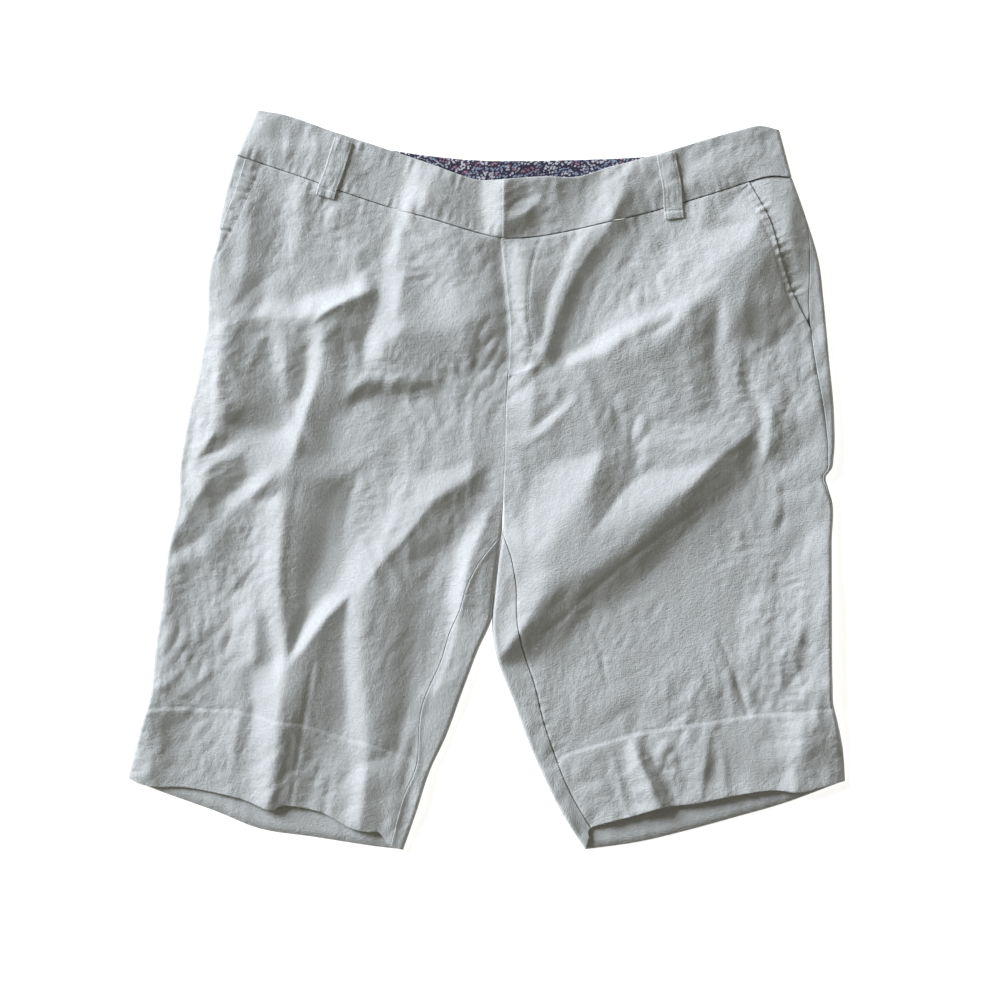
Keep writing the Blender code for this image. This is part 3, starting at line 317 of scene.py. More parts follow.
    "left edge dent": (.18, .16, [264,72, 262,56], [275,70, 274,52]),
    "left edge swell": (-.08, -.1, [248,16, 257,30, 270,44], [266,-22, 270,0, 273,22]),
    "left edge": (-.08, -.06, [212,4, 230,8, 248,10], [218,-10, 235,-8, 254,-6]),
    "left pocket rim": (-.2, -.16, [208,239, 217,222, 224,208, 231,190],
        [222,243, 228,225, 235,208, 240,190]),
    "left pocket side": (.24, .2, [236,232, 241,210, 244,190, 246,165],
        [246,232, 253,210, 258,190, 262,165]),
    "left band end": (.14, .14, [205,281, 216,284], [212,268, 232,268]),
    "left band swell": (-.16, -.14, [158,264, 158,240], [180,256, 172,238]),
    "left band dent": (.16, .14, [147,265, 148,244], [157,267, 155,242]),
    "fly lap": (-.34, -.2, [11,191, 15,160, 17,130, 17,100], [30,191, 28,160, 28,130, 27,104]),
    "beside the fly stitch": (.2, .18, [31,152, 32,130, 33,112], [46,150, 46,130, 42,112]),
    # star and long ridge
    "left thigh": (.06, .06, [92,95, 112,100, 158,112], [108,46, 140,46, 164,50]),
    "left thigh, lower": (-.16, .06, [112,42, 140,42, 170,44, 205,50], [124,8, 150,12, 180,20, 203,34]),
    "beside the centre seam": (-.32, -.3, [12,92, 12,40, 12,4], [34,96, 34,40, 34,4]),
    "over the star": (-.1, -.1, [15,28, 42,32, 70,36], [14,4, 42,10, 74,19]),
    "left groin ridge": (-.2, -.2, [27,33, 45,51, 63,67], [35,27, 52,44, 69,63]),
    "star": (-.36, -.5, [89,23, 60,15, 30,6, 12,2, 12,-25, 13,-50],
        [89,20, 80,-8, 74,-25, 66,-48, 60,-66]),
    "star foot": (.06, -.28, [13,-48, 10,-80, 5,-110, 7,-136],
        [60,-66, 46,-86, 35,-105, 23,-122, 11,-139]),
    "star back": (.14, .1, [78,82, 84,55, 88,35, 90,22, 86,8, 80,-8, 74,-25, 66,-48, 60,-66],
        [88,78, 102,52, 112,30, 119,8, 112,-4, 102,-15, 92,-30, 80,-46, 66,-65]),
    "star furrow": (.2, .2, [74,97, 80,82, 88,66, 96,48, 106,26, 113,8],
        [79,97, 86,82, 95,66, 104,48, 114,27, 120,7]),
    "long ridge": (-.28, -.32, [184,16, 160,11, 140,7, 120,3, 112,-5, 100,-18, 90,-32, 78,-48, 66,-65],
        [178,12, 160,-6, 145,-16, 128,-29, 110,-42, 95,-52, 80,-60, 68,-67]),
    "long ridge back": (.44, .36,
        [214,38, 198,29, 178,13, 160,-6, 145,-16, 128,-29, 110,-42, 95,-52, 80,-60, 61,-69, 47,-86,
         36,-104, 24,-122, 9,-141],
        [214,2, 198,-8, 182,-18, 165,-35, 148,-52, 135,-68, 120,-85, 105,-97, 90,-109, 75,-122, 58,-134,
         42,-143, 12,-147]),
    "long ridge foot": (.16, .04,
        [214,2, 198,-8, 182,-18, 165,-35, 148,-52, 135,-68, 120,-85, 105,-97, 90,-109, 75,-122, 58,-134,
         42,-143],
        [224,-22, 208,-40, 184,-66, 166,-88, 138,-110, 108,-132, 76,-148, 48,-156]),
    # wearer's left leg
    "left shin, all": (-.08, -.08, [118,-152, 170,-120, 232,-92], [106,-262, 170,-258, 258,-246]),
    "left shin": (-.3, -.26, [190,-88, 196,-115, 197,-148], [227,-88, 222,-115, 205,-152]),
    "left shin, outer": (-.2, -.2, [228,-56, 230,-100, 226,-142], [262,-58, 256,-95, 248,-130]),
    "left outer crease": (.44, .4, [256,-76, 254,-98, 252,-118, 247,-130],
        [266,-78, 266,-104, 262,-124, 255,-136]),
    "left thin crease": (.16, .12, [182,-116, 189,-138, 196,-158, 203,-184],
        [188,-114, 196,-138, 203,-158, 210,-186]),
    "left upright crease": (.16, .16, [232,0, 232,-20, 226,-50], [239,0, 240,-22, 236,-52]),
    "left shin dent": (.1, .1, [156,-104, 176,-94], [160,-112, 180,-102]),
    "left hem, all": (-.2, -.2, [60,-222, 118,-204, 177,-196, 274,-186],
        [82,-288, 139,-263, 195,-254, 284,-242]),
    "left hem strip, inner": (-.3, -.3, [64,-226, 74,-250, 84,-280], [88,-216, 92,-242, 102,-270]),
    "left hem strip, middle": (-.3, -.24, [146,-200, 150,-225, 156,-258], [164,-199, 168,-225, 170,-256]),
    "left hem strip, outer": (-.34, -.3, [194,-192, 192,-215, 192,-252], [214,-190, 210,-215, 210,-250]),
    "left hem ridge": (-.52, -.6, [100,-205, 102,-225, 106,-250, 112,-270],
        [115,-205, 122,-225, 131,-245, 138,-264]),
    "left hem ridge back": (.22, .16, [115,-205, 123,-225, 132,-245, 139,-264],
        [121,-205, 131,-225, 141,-243, 150,-262]),
    "left hem dent": (.12, .08, [183,-188, 176,-212, 172,-238], [190,-190, 184,-212, 180,-238]),
    "left hem swell": (-.2, -.16, [190,-194, 183,-220, 176,-256], [206,-194, 200,-220, 199,-254]),
    "left hem swell, outer": (-.5, -.7, [222,-188, 228,-210, 232,-250], [250,-188, 250,-212, 249,-250]),
    "left hem outer dent": (.04, 0, [259,-198, 255,-222, 250,-250], [264,-196, 263,-220, 263,-247]),
    "left hem edge": (0, 0, [268,-188, 270,-215, 270,-244], [278,-190, 283,-215, 285,-241]),
    "fork foot": (-.55, -.55, [-172,-140, -170,-168], [-157,-142, -160,-172]),
    "left edge, all": (-.24, -.2, [250,-34, 252,-120, 256,-180], [270,-34, 271,-120, 275,-180]),
    "left side, low": (-.3, -.26, [244,-160, 257,-150], [262,-184, 271,-160]),
}
AWAY = (0.832, -0.555)  # the way that a fall is measured, in plan
FALL_SHARE = 1.42  # how much of the falls the cloth has
FALL_TIE = 0.12  # how strongly the falls are tied across that way
FALL_SPREAD = 3.5  # mm over which each fall spreads across that way
FALL_REACH = 44.0  # mm over which the cloth comes back to its middle height
LOWEST_TOP = 3.3  # mm, the least and the greatest height that the facets may give
HIGHEST_TOP = 16.0
LIMIT_SOFTNESS = 1.2  # mm over which either limit takes hold

# Small folds on top of them, mm: x, y, height, width towards the waist and right side, width towards the
# hem and left side.
FOLDS = {
    "right dark facet crease": [(-140, -145, -0.6, 3, 3), (-148, -190, -1.0, 3, 4),
        (-158, -255, -0.6, 3, 3)],
    "right knee streak": [(-188, -66, 0.4, 5, 4), (-204, -84, 0.8, 6, 5), (-222, -104, 0.4, 5, 5)],
    "right shin streak": [(-204, -138, 0.4, 5, 4), (-228, -158, 0.9, 6, 5), (-252, -177, 0.4, 5, 5)],
    "right outer streak": [(-240, -149, 0.4, 5, 4), (-262, -166, 0.8, 5, 4)],
    "right inner hem crease": [(-46, -234, -0.5, 3, 3), (-54, -226, -0.9, 3, 3), (-62, -217, -0.5, 3, 3)],
    "right ridge line": [(-146, 121, 0.4, 4, 3), (-126, 136, 1.4, 4, 3), (-102, 149, 0.5, 4, 3)],
    "left hip crease": [(96, 104, -0.5, 4, 3), (120, 119, -0.5, 4, 3), (150, 135, -0.5, 4, 3)],
    "left groin ridge": [(28, 26, 0.5, 5, 4), (50, 45, 1.1, 6, 4), (69, 65, 0.5, 5, 4)],
    "left band crease": [(168, -23, -0.4, 4, 3), (130, -50, -0.6, 4, 3), (95, -78, -0.6, 4, 3),
        (45, -124, -0.4, 4, 3)],
    "left shin crease": [(84, -120, -0.4, 4, 4), (90, -142, -0.8, 4, 4), (95, -166, -0.4, 4, 4)],
    "left lower crease": [(184, -125, -0.7, 4, 5), (196, -156, -1.6, 4, 6), (207, -186, -1.2, 4, 5)],
    "left thin streak": [(235, -2, -0.7, 5, 5), (236, -25, -1.2, 6, 4), (230, -48, -0.7, 6, 6)],
    "left hem pleat": [(112, -204, 0.5, 10, 3), (120, -224, 1.3, 14, 3), (129, -243, 1.7, 18, 3),
        (139, -266, 1.5, 20, 3)],
    "left hem pleat foot": [(98, -206, 0.3, 3, 8), (102, -228, 0.7, 3, 8), (107, -250, 0.8, 3, 8),
        (112, -272, 0.6, 3, 8)],
    "right hem crease line": [(-160, -200, 0.4, 14, 3), (-165, -225, 1.0, 14, 3),
        (-174, -256, 1.3, 14, 4)],
    "left inner hem crease": [(176, -206, 0.4, 8, 3), (173, -228, 0.8, 8, 3), (170, -252, 0.9, 8, 3)],
    "left hip furrow": [(108, 165, -0.4, 8, 8), (118, 185, -1.2, 9, 9), (126, 203, -0.4, 8, 8)],
    "left spur furrow": [(74, 122, -0.3, 5, 5), (82, 145, -0.9, 6, 6), (90, 165, -0.3, 5, 5)],
    "right knee furrow": [(-158, -20, -0.3, 7, 7), (-160, -60, -0.8, 8, 8), (-160, -105, -0.4, 7, 7)],
    "fork furrow": [(-104, 4, -0.4, 7, 7), (-112, -18, -1.2, 8, 8), (-118, -50, -0.5, 7, 7)],
    "right thigh furrow": [(-158, 62, -0.4, 6, 6), (-152, 45, -1.2, 7, 7), (-146, 28, -0.4, 6, 6)],
    "fly foot furrow": [(26, 68, -0.4, 6, 6), (34, 79, -1.1, 7, 7), (44, 88, -0.4, 6, 6)],
    "belly crease": [(-70, 205, -0.3, 8, 8), (-78, 160, -0.8, 9, 9), (-78, 115, -0.3, 8, 8)],
    "right inner furrow": [(-30, -80, -0.3, 7, 7), (-45, -120, -0.9, 8, 8), (-52, -165, -0.4, 7, 7)],
    "right inner furrow, hem": [(-54, -190, -0.3, 5, 5), (-62, -220, -0.9, 6, 6),
        (-70, -250, -0.4, 5, 5)],
    "right shin rise": [(-184, -110, 0.3, 6, 6), (-188, -145, 0.8, 7, 7), (-184, -180, 0.3, 6, 6)],
    "right hem rise": [(-146, -195, 0.3, 8, 8), (-152, -228, 0.9, 9, 9), (-156, -262, 0.4, 8, 8)],
    "right hem rise, outer": [(-258, -180, 0.3, 7, 7), (-262, -208, 0.9, 8, 8), (-262, -236, 0.3, 7, 7)],
    "right hem furrow": [(-126, -240, -0.4, 5, 5), (-131, -258, -0.9, 6, 6), (-132, -272, -0.4, 5, 5)],
    "left shin rise": [(252, -80, 0.4, 5, 9), (250, -105, 1.2, 5, 10), (248, -130, 0.4, 5, 9)],
    "left side rise": [(262, -165, 0.4, 9, 6), (263, -195, 1.2, 10, 6), (266, -225, 0.5, 9, 6)],
    "left hem rise, outer": [(240, -205, 0.4, 9, 5), (243, -230, 1.4, 10, 5), (244, -248, 0.8, 9, 5)],
    "left hem rise": [(184, -205, 0.3, 7, 5), (188, -230, 1.1, 8, 5), (189, -250, 0.8, 8, 5)],
    "left hem rise, middle": [(140, -208, 0.3, 7, 5), (148, -226, 1.0, 8, 5), (154, -246, 0.7, 8, 5)],
    "left hem rise, inner": [(96, -212, 0.3, 6, 4), (102, -235, 0.9, 7, 4), (108, -262, 0.7, 7, 4)],
    "left seam rise": [(24, 25, 0.3, 8, 8), (26, -2, 0.9, 9, 9), (22, -25, 0.3, 8, 8)],
    "left side rise, upper": [(214, 104, 0.3, 8, 8), (226, 117, 0.9, 9, 9), (240, 128, 0.3, 8, 8)],
    "fly edge": [(11.5, 190, 0.5, 2.5, 4), (14, 155, 0.9, 2.5, 4), (17, 120, 0.9, 2.5, 4),
        (15, 88, 0.4, 2.5, 4)],
    "fly curl": [(16, 134, -0.5, 3, 4), (24, 126, -0.8, 3, 4), (29, 112, -0.6, 3, 4)],
}
CREST_SOFTNESS = 0.06  # how far a small fold is rounded, as a share of its flank
FOOT_SOFTNESS = 0.07  # how softly it runs out, as a share of its height

# ---- sewing lines, mm (x, y) ----
FLY_STITCH = [(40.8, 193), (36, 178), (33, 165), (31, 140), (32, 122), (35, 109), (32, 98), (30, 92)]
RIGHT_POCKET_STITCH = [(-182, 252), (-192, 230), (-199, 214), (-207, 199), (-213, 187), (-220, 176)]
LEFT_POCKET_STITCH = [(199, 235), (210, 220), (218, 205), (224, 193), (229, 179), (234, 163), (243, 138)]
RIGHT_HEM_STITCH = [(-277, -184), (-248, -182), (-223, -184), (-207, -184), (-189, -188), (-166, -194),
    (-148, -196), (-111, -208), (-97, -211), (-66, -222), (-47, -230)]
LEFT_HEM_STITCH = [(42, -233), (52, -230), (59, -222), (70, -217), (94, -210), (118, -203), (153, -197),
    (177, -194), (208, -189), (254, -185), (276, -183)]

# Waves that puckers are made of: wave length beside the spacing, and share of the height.
PUCKER_WAVES = [(1.0, 0.6), (0.71, 0.35), (1.55, 0.45)]
PUCKER_EDGE = 0.02  # how round the crest of a pucker is
PUCKER_WHOLE = 0.35  # share of their reach that they cross at full height
PUCKER_CLEAR = 1.5  # mm beside the line over which they start
# Puckers beside each line of sewing: path, height, spacing, reach to its left, reach to its right.
PUCKERS = {
    "waistband top, right": ([(-150, 286), (-124, 278), (-87, 266), (-49, 253), (-20, 243)],
        0.50, 8.5, 0.0, 17.0),
    "waistband top, left": ([(20, 241), (70, 243), (109, 253), (150, 266)], 0.26, 10.0, 0.0, 14.0),
    "over the waist seam, right": ([(-198, 258), (-150, 242), (-118, 231), (-80, 218), (-30, 204),
        (6, 195)], 0.42, 7.0, 14.0, 0.0),
    "over the waist seam, left": ([(120, 211), (160, 223), (200, 235)], 0.32, 7.5, 13.0, 0.0),
    "under the waist seam, right": ([(-198, 258), (-150, 242), (-118, 231), (-88, 221)],
        0.34, 9.5, 0.0, 18.0),
    "under the waist seam, left": ([(14, 193), (40, 195), (74, 201), (125, 213), (180, 229), (205, 237)],
        0.30, 10.0, 0.0, 20.0),
    "fly": (FLY_STITCH, 0.34, 7.0, 0.0, 16.0),
    "right pocket": (RIGHT_POCKET_STITCH, 1.2, 5.8, 1.0, 17.0),
    "left pocket": (LEFT_POCKET_STITCH, 1.1, 6.0, 17.0, 1.0),
    "right hem": (RIGHT_HEM_STITCH, 0.14, 8.0, 8.0, 8.0),
    "left hem": (LEFT_HEM_STITCH, 0.14, 8.0, 8.0, 8.0),
    "side of the right hem": ([(-277, -184), (-281, -200), (-287, -240)], 0.60, 6.5, 9.0, 9.0),
    "side of the left hem": ([(272, -184), (278, -205), (284, -238)], 0.30, 8.0, 8.0, 8.0),
    "inner side of the left hem": ([(34, -150), (42, -178), (52, -206), (62, -226)],
        0.45, 7.5, 8.0, 10.0),
}
# Grooves that a line of sewing pulls into the cloth: path, depth, width.
GROOVES = {
    "fly": (FLY_STITCH, 0.60, 1.4),
    "right pocket": (RIGHT_POCKET_STITCH, 0.55, 1.3),
    "left pocket": (LEFT_POCKET_STITCH, 0.55, 1.3),
    "right hem": (RIGHT_HEM_STITCH, 0.40, 1.1),
    "left hem": (LEFT_HEM_STITCH, 0.40, 1.1),
}
# The top layer comes down over HEM_EASE mm to a hem's edge: its broad form to the height HEM_EDGE, while
# its folds, which are the forms narrower than HEM_BROAD mm, keep their height but for a small share.
HEM_EASE = 80.0
HEM_EDGE = 3.3
HEM_FOLDS = 0.95  # share of their height that the folds keep
HEM_BROAD = 20.0
HEM_LOWEST = 2.7  # mm, how low it may come
HEM_SOFTNESS = 0.5  # mm over which that limit takes hold
HEM_EASE_ENDS = (16, 4), (16, 4)  # mm of x beyond a hem's ends where it starts and is whole
HEM_RISE = 0.9  # how far the doubled hem stands over the single cloth
HEM_STEP = (0.3, 0.9)  # mm above and below its stitch line between which it rises
HEM_RISE_ENDS = (20, 12), (6, 2)  # mm of x beyond that line's ends where the rise starts and is whole
BAR_TACK_RIDGE = [(13, 83.5, 0.7, 2.5, 3), (24, 85, 0.9, 2.5, 3.5), (38, 91, 0.6, 2.5, 3)]

# Crumple of the linen: wave length, height, direction of its creases in degrees, how long they are
# beside their width, and which way they are sharp: 1 for ridges, -1 for furrows, 0 for soft waves.
CRUMPLE = [(60.0, 0.26, 78, 2.2, 1), (44.0, 0.20, 40, 2.2, -1), (30.0, 0.17, 100, 2.0, 1),
    (21.0, 0.13, 65, 1.8, -1), (15.0, 0.095, 15, 1.8, 1), (10.0, 0.06, 90, 1.7, -1),
    (6.0, 0.03, 60, 1.4, 0)]
CRUMPLE_SEED = 11
WAVE_SPREAD = 0.45  # how far wave lengths stray from the one asked for, as a natural logarithm
CREASE_GAIN = 1.5  # gives creases about the spread of the waves that they are bent from
CREASE_EDGE = 0.015  # how round their crests are
PATCH_LENGTH = 130.0  # mm between the patches in which one size of crumple is strong or weak
PATCH_MEAN = 0.75
PATCH_SPREAD = 0.6
PATCH_RANGE = (0.05, 2.0)
# How crumpled each place is beside the usual 1: x, y, reach in x, reach in y, change.
CRUMPLED = [(-130, 30, 24, 70, -0.75), (-135, -70, 30, 60, -0.75), (-120, -190, 24, 60, -0.7),
    (-70, -150, 26, 70, -0.6), (100, -75, 60, 28, -0.6), (80, 10, 22, 60, -0.5),
    (-225, -110, 36, 80, 0.35), (-40, 60, 40, 60, 0.3), (120, 70, 34, 40, 0.5), (190, -150, 70, 50, 0.1),
    (-150, 200, 30, 40, 0.2), (-245, -215, 34, 34, -0.45), (215, -220, 60, 36, 0.2)]
CRUMPLED_RANGE = (0.15, 2.0)

NET_PITCH = 0.8
NET_PLACES = 768  # a product of twos and a three, for quick Fourier transforms
NET_HALF = NET_PITCH * (NET_PLACES - 1) / 2


# ---- curves and heights ----
def smooth_curve(stations, t):
    """Value at t of a smooth curve through (t, value) stations: cubic pieces, slopes by neighbours."""
    stations = sorted(stations)
    knots = np.array([s[0] for s in stations], float)
    values = np.array([s[1] for s in stations], float)
    slopes = np.gradient(values, knots)
    t = np.asarray(t, float)
    i = np.clip(np.searchsorted(knots, t) - 1, 0, len(knots) - 2)
    step = knots[i + 1] - knots[i]
    f = np.clip((t - knots[i]) / step, 0, 1)
    rise = values[i] * (1 + 2 * f) * (1 - f) ** 2 + values[i + 1] * f * f * (3 - 2 * f)
    lean = step * (slopes[i] * f * (1 - f) ** 2 - slopes[i + 1] * f * f * (1 - f))
    return rise + lean


def smooth_path(points, samples_per_leg=8):
    """Catmull-Rom curve through points of any number of columns."""
    points = np.asarray(points, float)
    guard = np.vstack([2 * points[0] - points[1], points, 2 * points[-1] - points[-2]])
    t = np.linspace(0, 1, samples_per_leg, endpoint=False)[:, None]
    legs = []
    for a, b, c, d in zip(guard[:-3], guard[1:-2], guard[2:-1], guard[3:]):
        legs.append(0.5 * (2 * b + (c - a) * t + (2 * a - 5 * b + 4 * c - d) * t ** 2
                           + (3 * b - a - 3 * c + d) * t ** 3))
    return np.vstack(legs + [points[-1:]])


def ramp(t, start, end):
    """0 before start, 1 after end, smooth between; start may be the larger."""
    f = np.clip((np.asarray(t, float) - start) / (end - start), 0, 1)
    return f * f * (3 - 2 * f)


def at_least(values, lowest, softness):
    """Values that bend off softly where they would come below the lowest: a softplus above it."""
    return lowest + np.logaddexp(0, (values - lowest) / softness) * softness


def within_ends(x, line, first, last):
    """1 over the x range of a line and 0 beyond its ends, with a fade between two distances from each."""
    return (ramp(x, line[0, 0] - first[0], line[0, 0] - first[1])
            * ramp(x, line[-1, 0] + last[0], line[-1, 0] + last[1]))


def arc_lengths(line):
    """Length of a line from its start to each of its points."""
    steps = np.hypot(*np.diff(line[:, :2], axis=0).T)
    return np.concatenate([[0], np.cumsum(steps)])


def nearest_on(line, x, y):
    """For each place, the line's own columns at the point of it that is nearest, and the way there.

    Returns those columns, the distance, and lean: +1 where the place lies squarely to the left of the
    way the line runs, -1 to its right, and between them past an end.
    """
    nearest = np.full(np.shape(x), np.inf)
    found = np.zeros(np.shape(x) + (line.shape[1],))
    lean = np.zeros(np.shape(x))
    for start, end in zip(line[:-1], line[1:]):
        ex, ey = end[:2] - start[:2]
        along = np.clip(((x - start[0]) * ex + (y - start[1]) * ey) / (ex * ex + ey * ey), 0, 1)
        dx, dy = x - start[0] - along * ex, y - start[1] - along * ey
        away = np.hypot(dx, dy)
        closer = away < nearest
        nearest = np.where(closer, away, nearest)
        side = (ex * dy - ey * dx) / (math.hypot(ex, ey) * away + 1e-9)
        lean = np.where(closer, side, lean)
        here = start + along[..., None] * (end - start)
        found = np.where(closer[..., None], here, found)
    return found, nearest, lean


def fold_height(x, y, stations, softness=CREST_SOFTNESS):
    """Height of one fold: a rounded tent across its crest line, its own width on each flank."""
    line = smooth_path(stations, 5)
    run = line[-1, :2] - line[0, :2]
    lower_is_left = 1.0 if run[0] + run[1] < 0 else -1.0
    found, away, lean = nearest_on(line, x, y)
    upper, lower = found[..., 3], found[..., 4]
    q = away / (upper + (lower - upper) * 0.5 * (1 + lower_is_left * lean))
    tent = 1 - (np.sqrt(q * q + softness ** 2) - softness) / (math.hypot(1, softness) - softness)
    return found[..., 2] * np.logaddexp(0, tent / FOOT_SOFTNESS) * FOOT_SOFTNESS


def within_outline(outline, x, y):
    """Whether each place lies inside a closed outline: a ray from it crosses the outline an odd count."""
    inside = np.zeros(np.shape(x), bool)
    for (ax, ay), (bx, by) in zip(outline, np.roll(outline, -1, axis=0)):
        if ay != by:
            crosses = ((ay > y) != (by > y)) & (x < ax + (y - ay) * (bx - ax) / (by - ay))
            inside ^= crosses
    return inside


class Net:
    """Heights on a square net of places, added to near a line and read between its places."""

    def __init__(self):
        self.places = np.linspace(-NET_HALF, NET_HALF, NET_PLACES)
        self.heights = np.zeros((NET_PLACES, NET_PLACES))

    def around(self, line, reach):
        """The part of the net within reach of a line, as two slices, with x and y of its places."""
        low = np.searchsorted(self.places, line[:, :2].min(axis=0) - reach)
        high = np.searchsorted(self.places, line[:, :2].max(axis=0) + reach)
        columns, rows = slice(low[0], high[0]), slice(low[1], high[1])
        x, y = np.meshgrid(self.places[columns], self.places[rows])
        return (rows, columns), x, y

    def lay_facets(self, facets):
        """Heights whose fall towards the hem and the left side is that of each facet, as near as may be.

        A facet is the patch between its two lines, and its fall goes from one number to the other with
        the share of the way between them.  The heights h are those for which (fall + slope of h)^2, plus
        FALL_TIE times the squared slope across, plus (h / FALL_REACH)^2 is least over the net, which has
        a plain answer for each of its Fourier parts.  FALL_SPREAD softens the ends of the facets.
        """
        fall = np.zeros((NET_PLACES, NET_PLACES))
        for fall_upper, fall_lower, upper, lower in facets:
            upper, lower = (smooth_path(np.reshape(line, (-1, 2)), 4) for line in (upper, lower))
            window, x, y = self.around(np.vstack([upper, lower]), 2)
            from_upper, from_lower = nearest_on(upper, x, y)[1], nearest_on(lower, x, y)[1]
            share = from_upper / (from_upper + from_lower + 1e-9)
            inside = within_outline(np.vstack([upper, lower[::-1]]), x, y)
            fall[window] = np.where(inside, fall_upper + (fall_lower - fall_upper) * share, fall[window])
        turns_y = 2 * math.pi * np.fft.fftfreq(NET_PLACES, NET_PITCH)[:, None]
        turns_x = 2 * math.pi * np.fft.rfftfreq(NET_PLACES, NET_PITCH)[None, :]
        along = turns_x * AWAY[0] + turns_y * AWAY[1]
        across = turns_x * AWAY[1] - turns_y * AWAY[0]
        held = along ** 2 + FALL_TIE * across ** 2 + FALL_REACH ** -2
        spread_out = np.exp(-0.5 * (across * FALL_SPREAD) ** 2)
        parts = 1j * along * spread_out * np.fft.rfft2(fall * FALL_SHARE) / held
        heights = BASE_HEIGHT + np.fft.irfft2(parts, s=fall.shape)
        heights = at_least(heights, LOWEST_TOP, LIMIT_SOFTNESS)
        self.heights = -at_least(-heights, -HIGHEST_TOP, LIMIT_SOFTNESS)

    def ease_down(self, share):
        """Brings the cloth down by a share: its broad form to HEM_EDGE, its folds on top of that.

        The broad form is the cloth smoothed by a Gaussian HEM_BROAD mm wide, in its Fourier parts.
        """
        turns = 2 * math.pi * np.fft.fftfreq(NET_PLACES, NET_PITCH)
        turns = np.hypot(turns[:, None], turns[None, :NET_PLACES // 2 + 1])
        kept = np.exp(-0.5 * (turns * HEM_BROAD) ** 2)
        broad = np.fft.irfft2(np.fft.rfft2(self.heights) * kept, s=self.heights.shape)
        eased = at_least(HEM_EDGE + (self.heights - broad) * HEM_FOLDS, HEM_LOWEST, HEM_SOFTNESS)
        self.heights += share * (eased - self.heights)

    def add_fold(self, stations):
        """A small fold along its stations, as the heights of FOLDS say."""
        line = np.asarray(stations, float)
        window, x, y = self.around(line, line[:, 3:].max() * 1.5)
        self.heights[window] += fold_height(x, y, stations)

    def add_puckers(self, path, height, spacing, left, right, random):
        """Short sharp ridges across a line of sewing that die out over their reach on each side of it.

        Each wave is a constant less twice the size of a sine along the line, so its crests are sharp; a
        slower sine along the line makes them stronger and weaker in turn.
        """
        line = smooth_path(path)
        line = np.column_stack([line, arc_lengths(line)])
        window, x, y = self.around(line, max(left, right) + 4)
        found, away, lean = nearest_on(line, x, y)
        wave = 0
        for stretch, share in PUCKER_WAVES:
            turn = math.pi * found[..., 2] / (spacing * stretch) + random.uniform(0, math.pi)
            wave = wave + share * (1.3 - 2 * np.sqrt(np.sin(turn) ** 2 + PUCKER_EDGE))
        side = np.where(lean > 0, left, right) + 1e-6
        fade = ramp(away / side, 1.0, PUCKER_WHOLE) * ramp(away, 0.0, PUCKER_CLEAR) * np.abs(lean)
        patchy = 0.75 + 0.5 * np.sin(found[..., 2] / (spacing * 0.9) + random.uniform(0, 2 * math.pi))
        self.heights[window] += height * wave * fade * patchy

    def add_groove(self, path, depth, width):
        """A soft furrow along a path: depth times exp(-(distance / width)^2)."""
        line = smooth_path(path)
        window, x, y = self.around(line, 3 * width)
        away = nearest_on(line, x, y)[1]
        self.heights[window] -= depth * np.exp(-(away / width) ** 2)

    def blur(self, passes):
        """Each pass averages a place with its neighbours, which rounds what is sharp."""
        for _ in range(passes):
            for axis in (0, 1):
                before, after = np.roll(self.heights, 1, axis), np.roll(self.heights, -1, axis)
                self.heights = 0.25 * before + 0.5 * self.heights + 0.25 * after

    def read(self, x, y):
        """Height at any place, straight between its four nearest places of the net."""
        last = NET_PLACES - 1.001
        fx = np.clip((np.asarray(x) + NET_HALF) / NET_PITCH, 0, last)
        fy = np.clip((np.asarray(y) + NET_HALF) / NET_PITCH, 0, last)
        ix, iy = fx.astype(int), fy.astype(int)
        tx, ty = fx - ix, fy - iy
        near = self.heights[iy, ix] * (1 - tx) + self.heights[iy, ix + 1] * tx
        far = self.heights[iy + 1, ix] * (1 - tx) + self.heights[iy + 1, ix + 1] * tx
        return near * (1 - ty) + far * ty


def waves(wave_length, turn, stretch, random):
    """Random waves over the net, about one wave length apart, spread about zero with a spread of 1.

    Noise keeps only the Fourier parts near that wave length, measured across the direction turn; along
    it the waves are longer by the factor stretch.
    """
    size = NET_PLACES
    noise = np.fft.rfft2(random.standard_normal((size, size)))
    fy = np.fft.fftfreq(size, NET_PITCH)[:, None]
    fx = np.fft.rfftfreq(size, NET_PITCH)[None, :]
    turn = math.radians(turn)
    along = (fx * math.cos(turn) + fy * math.sin(turn)) * stretch
    across = fy * math.cos(turn) - fx * math.sin(turn)
    cycles = np.hypot(along, across) * wave_length + 1e-9
    kept = np.fft.irfft2(noise * np.exp(-(np.log(cycles) / WAVE_SPREAD) ** 2), s=(size, size))
    return kept / kept.std()


def crumple(wave_length, height, turn, stretch, sharp, random):
    """One size of crumple: waves, bent into creases where sharp, in patches of their own."""
    creased = waves(wave_length, turn, stretch, random)
    if sharp:
        creased = -sharp * CREASE_GAIN * np.sqrt(creased ** 2 + CREASE_EDGE)
        creased -= creased.mean()
    patches = np.clip(PATCH_MEAN + PATCH_SPREAD * waves(PATCH_LENGTH, turn, 1.0, random), *PATCH_RANGE)
    return height * creased * patches


def hem_layer(x, y, path):
    """1 below a hem's stitch line and 0 above it, sharp at the line."""
    line = smooth_path(path)
    foot = np.interp(x, line[:, 0], line[:, 1])
    return ramp(y, foot + HEM_STEP[0], foot - HEM_STEP[1]) * within_ends(x, line, *HEM_RISE_ENDS)


def hem_ease(x, y):
    """How far the top layer has come down to its hem's edge: 0 up the leg, 1 at the edge."""
    share = np.zeros(np.shape(x))
    for path in (RIGHT_HEM, LEFT_HEM):
        line = np.array(sorted(path))
        foot = np.interp(x, line[:, 0], line[:, 1])
        eased = ramp(y, foot + HEM_EASE, foot) * within_ends(x, line, *HEM_EASE_ENDS)
        share = np.maximum(share, eased)
    return share


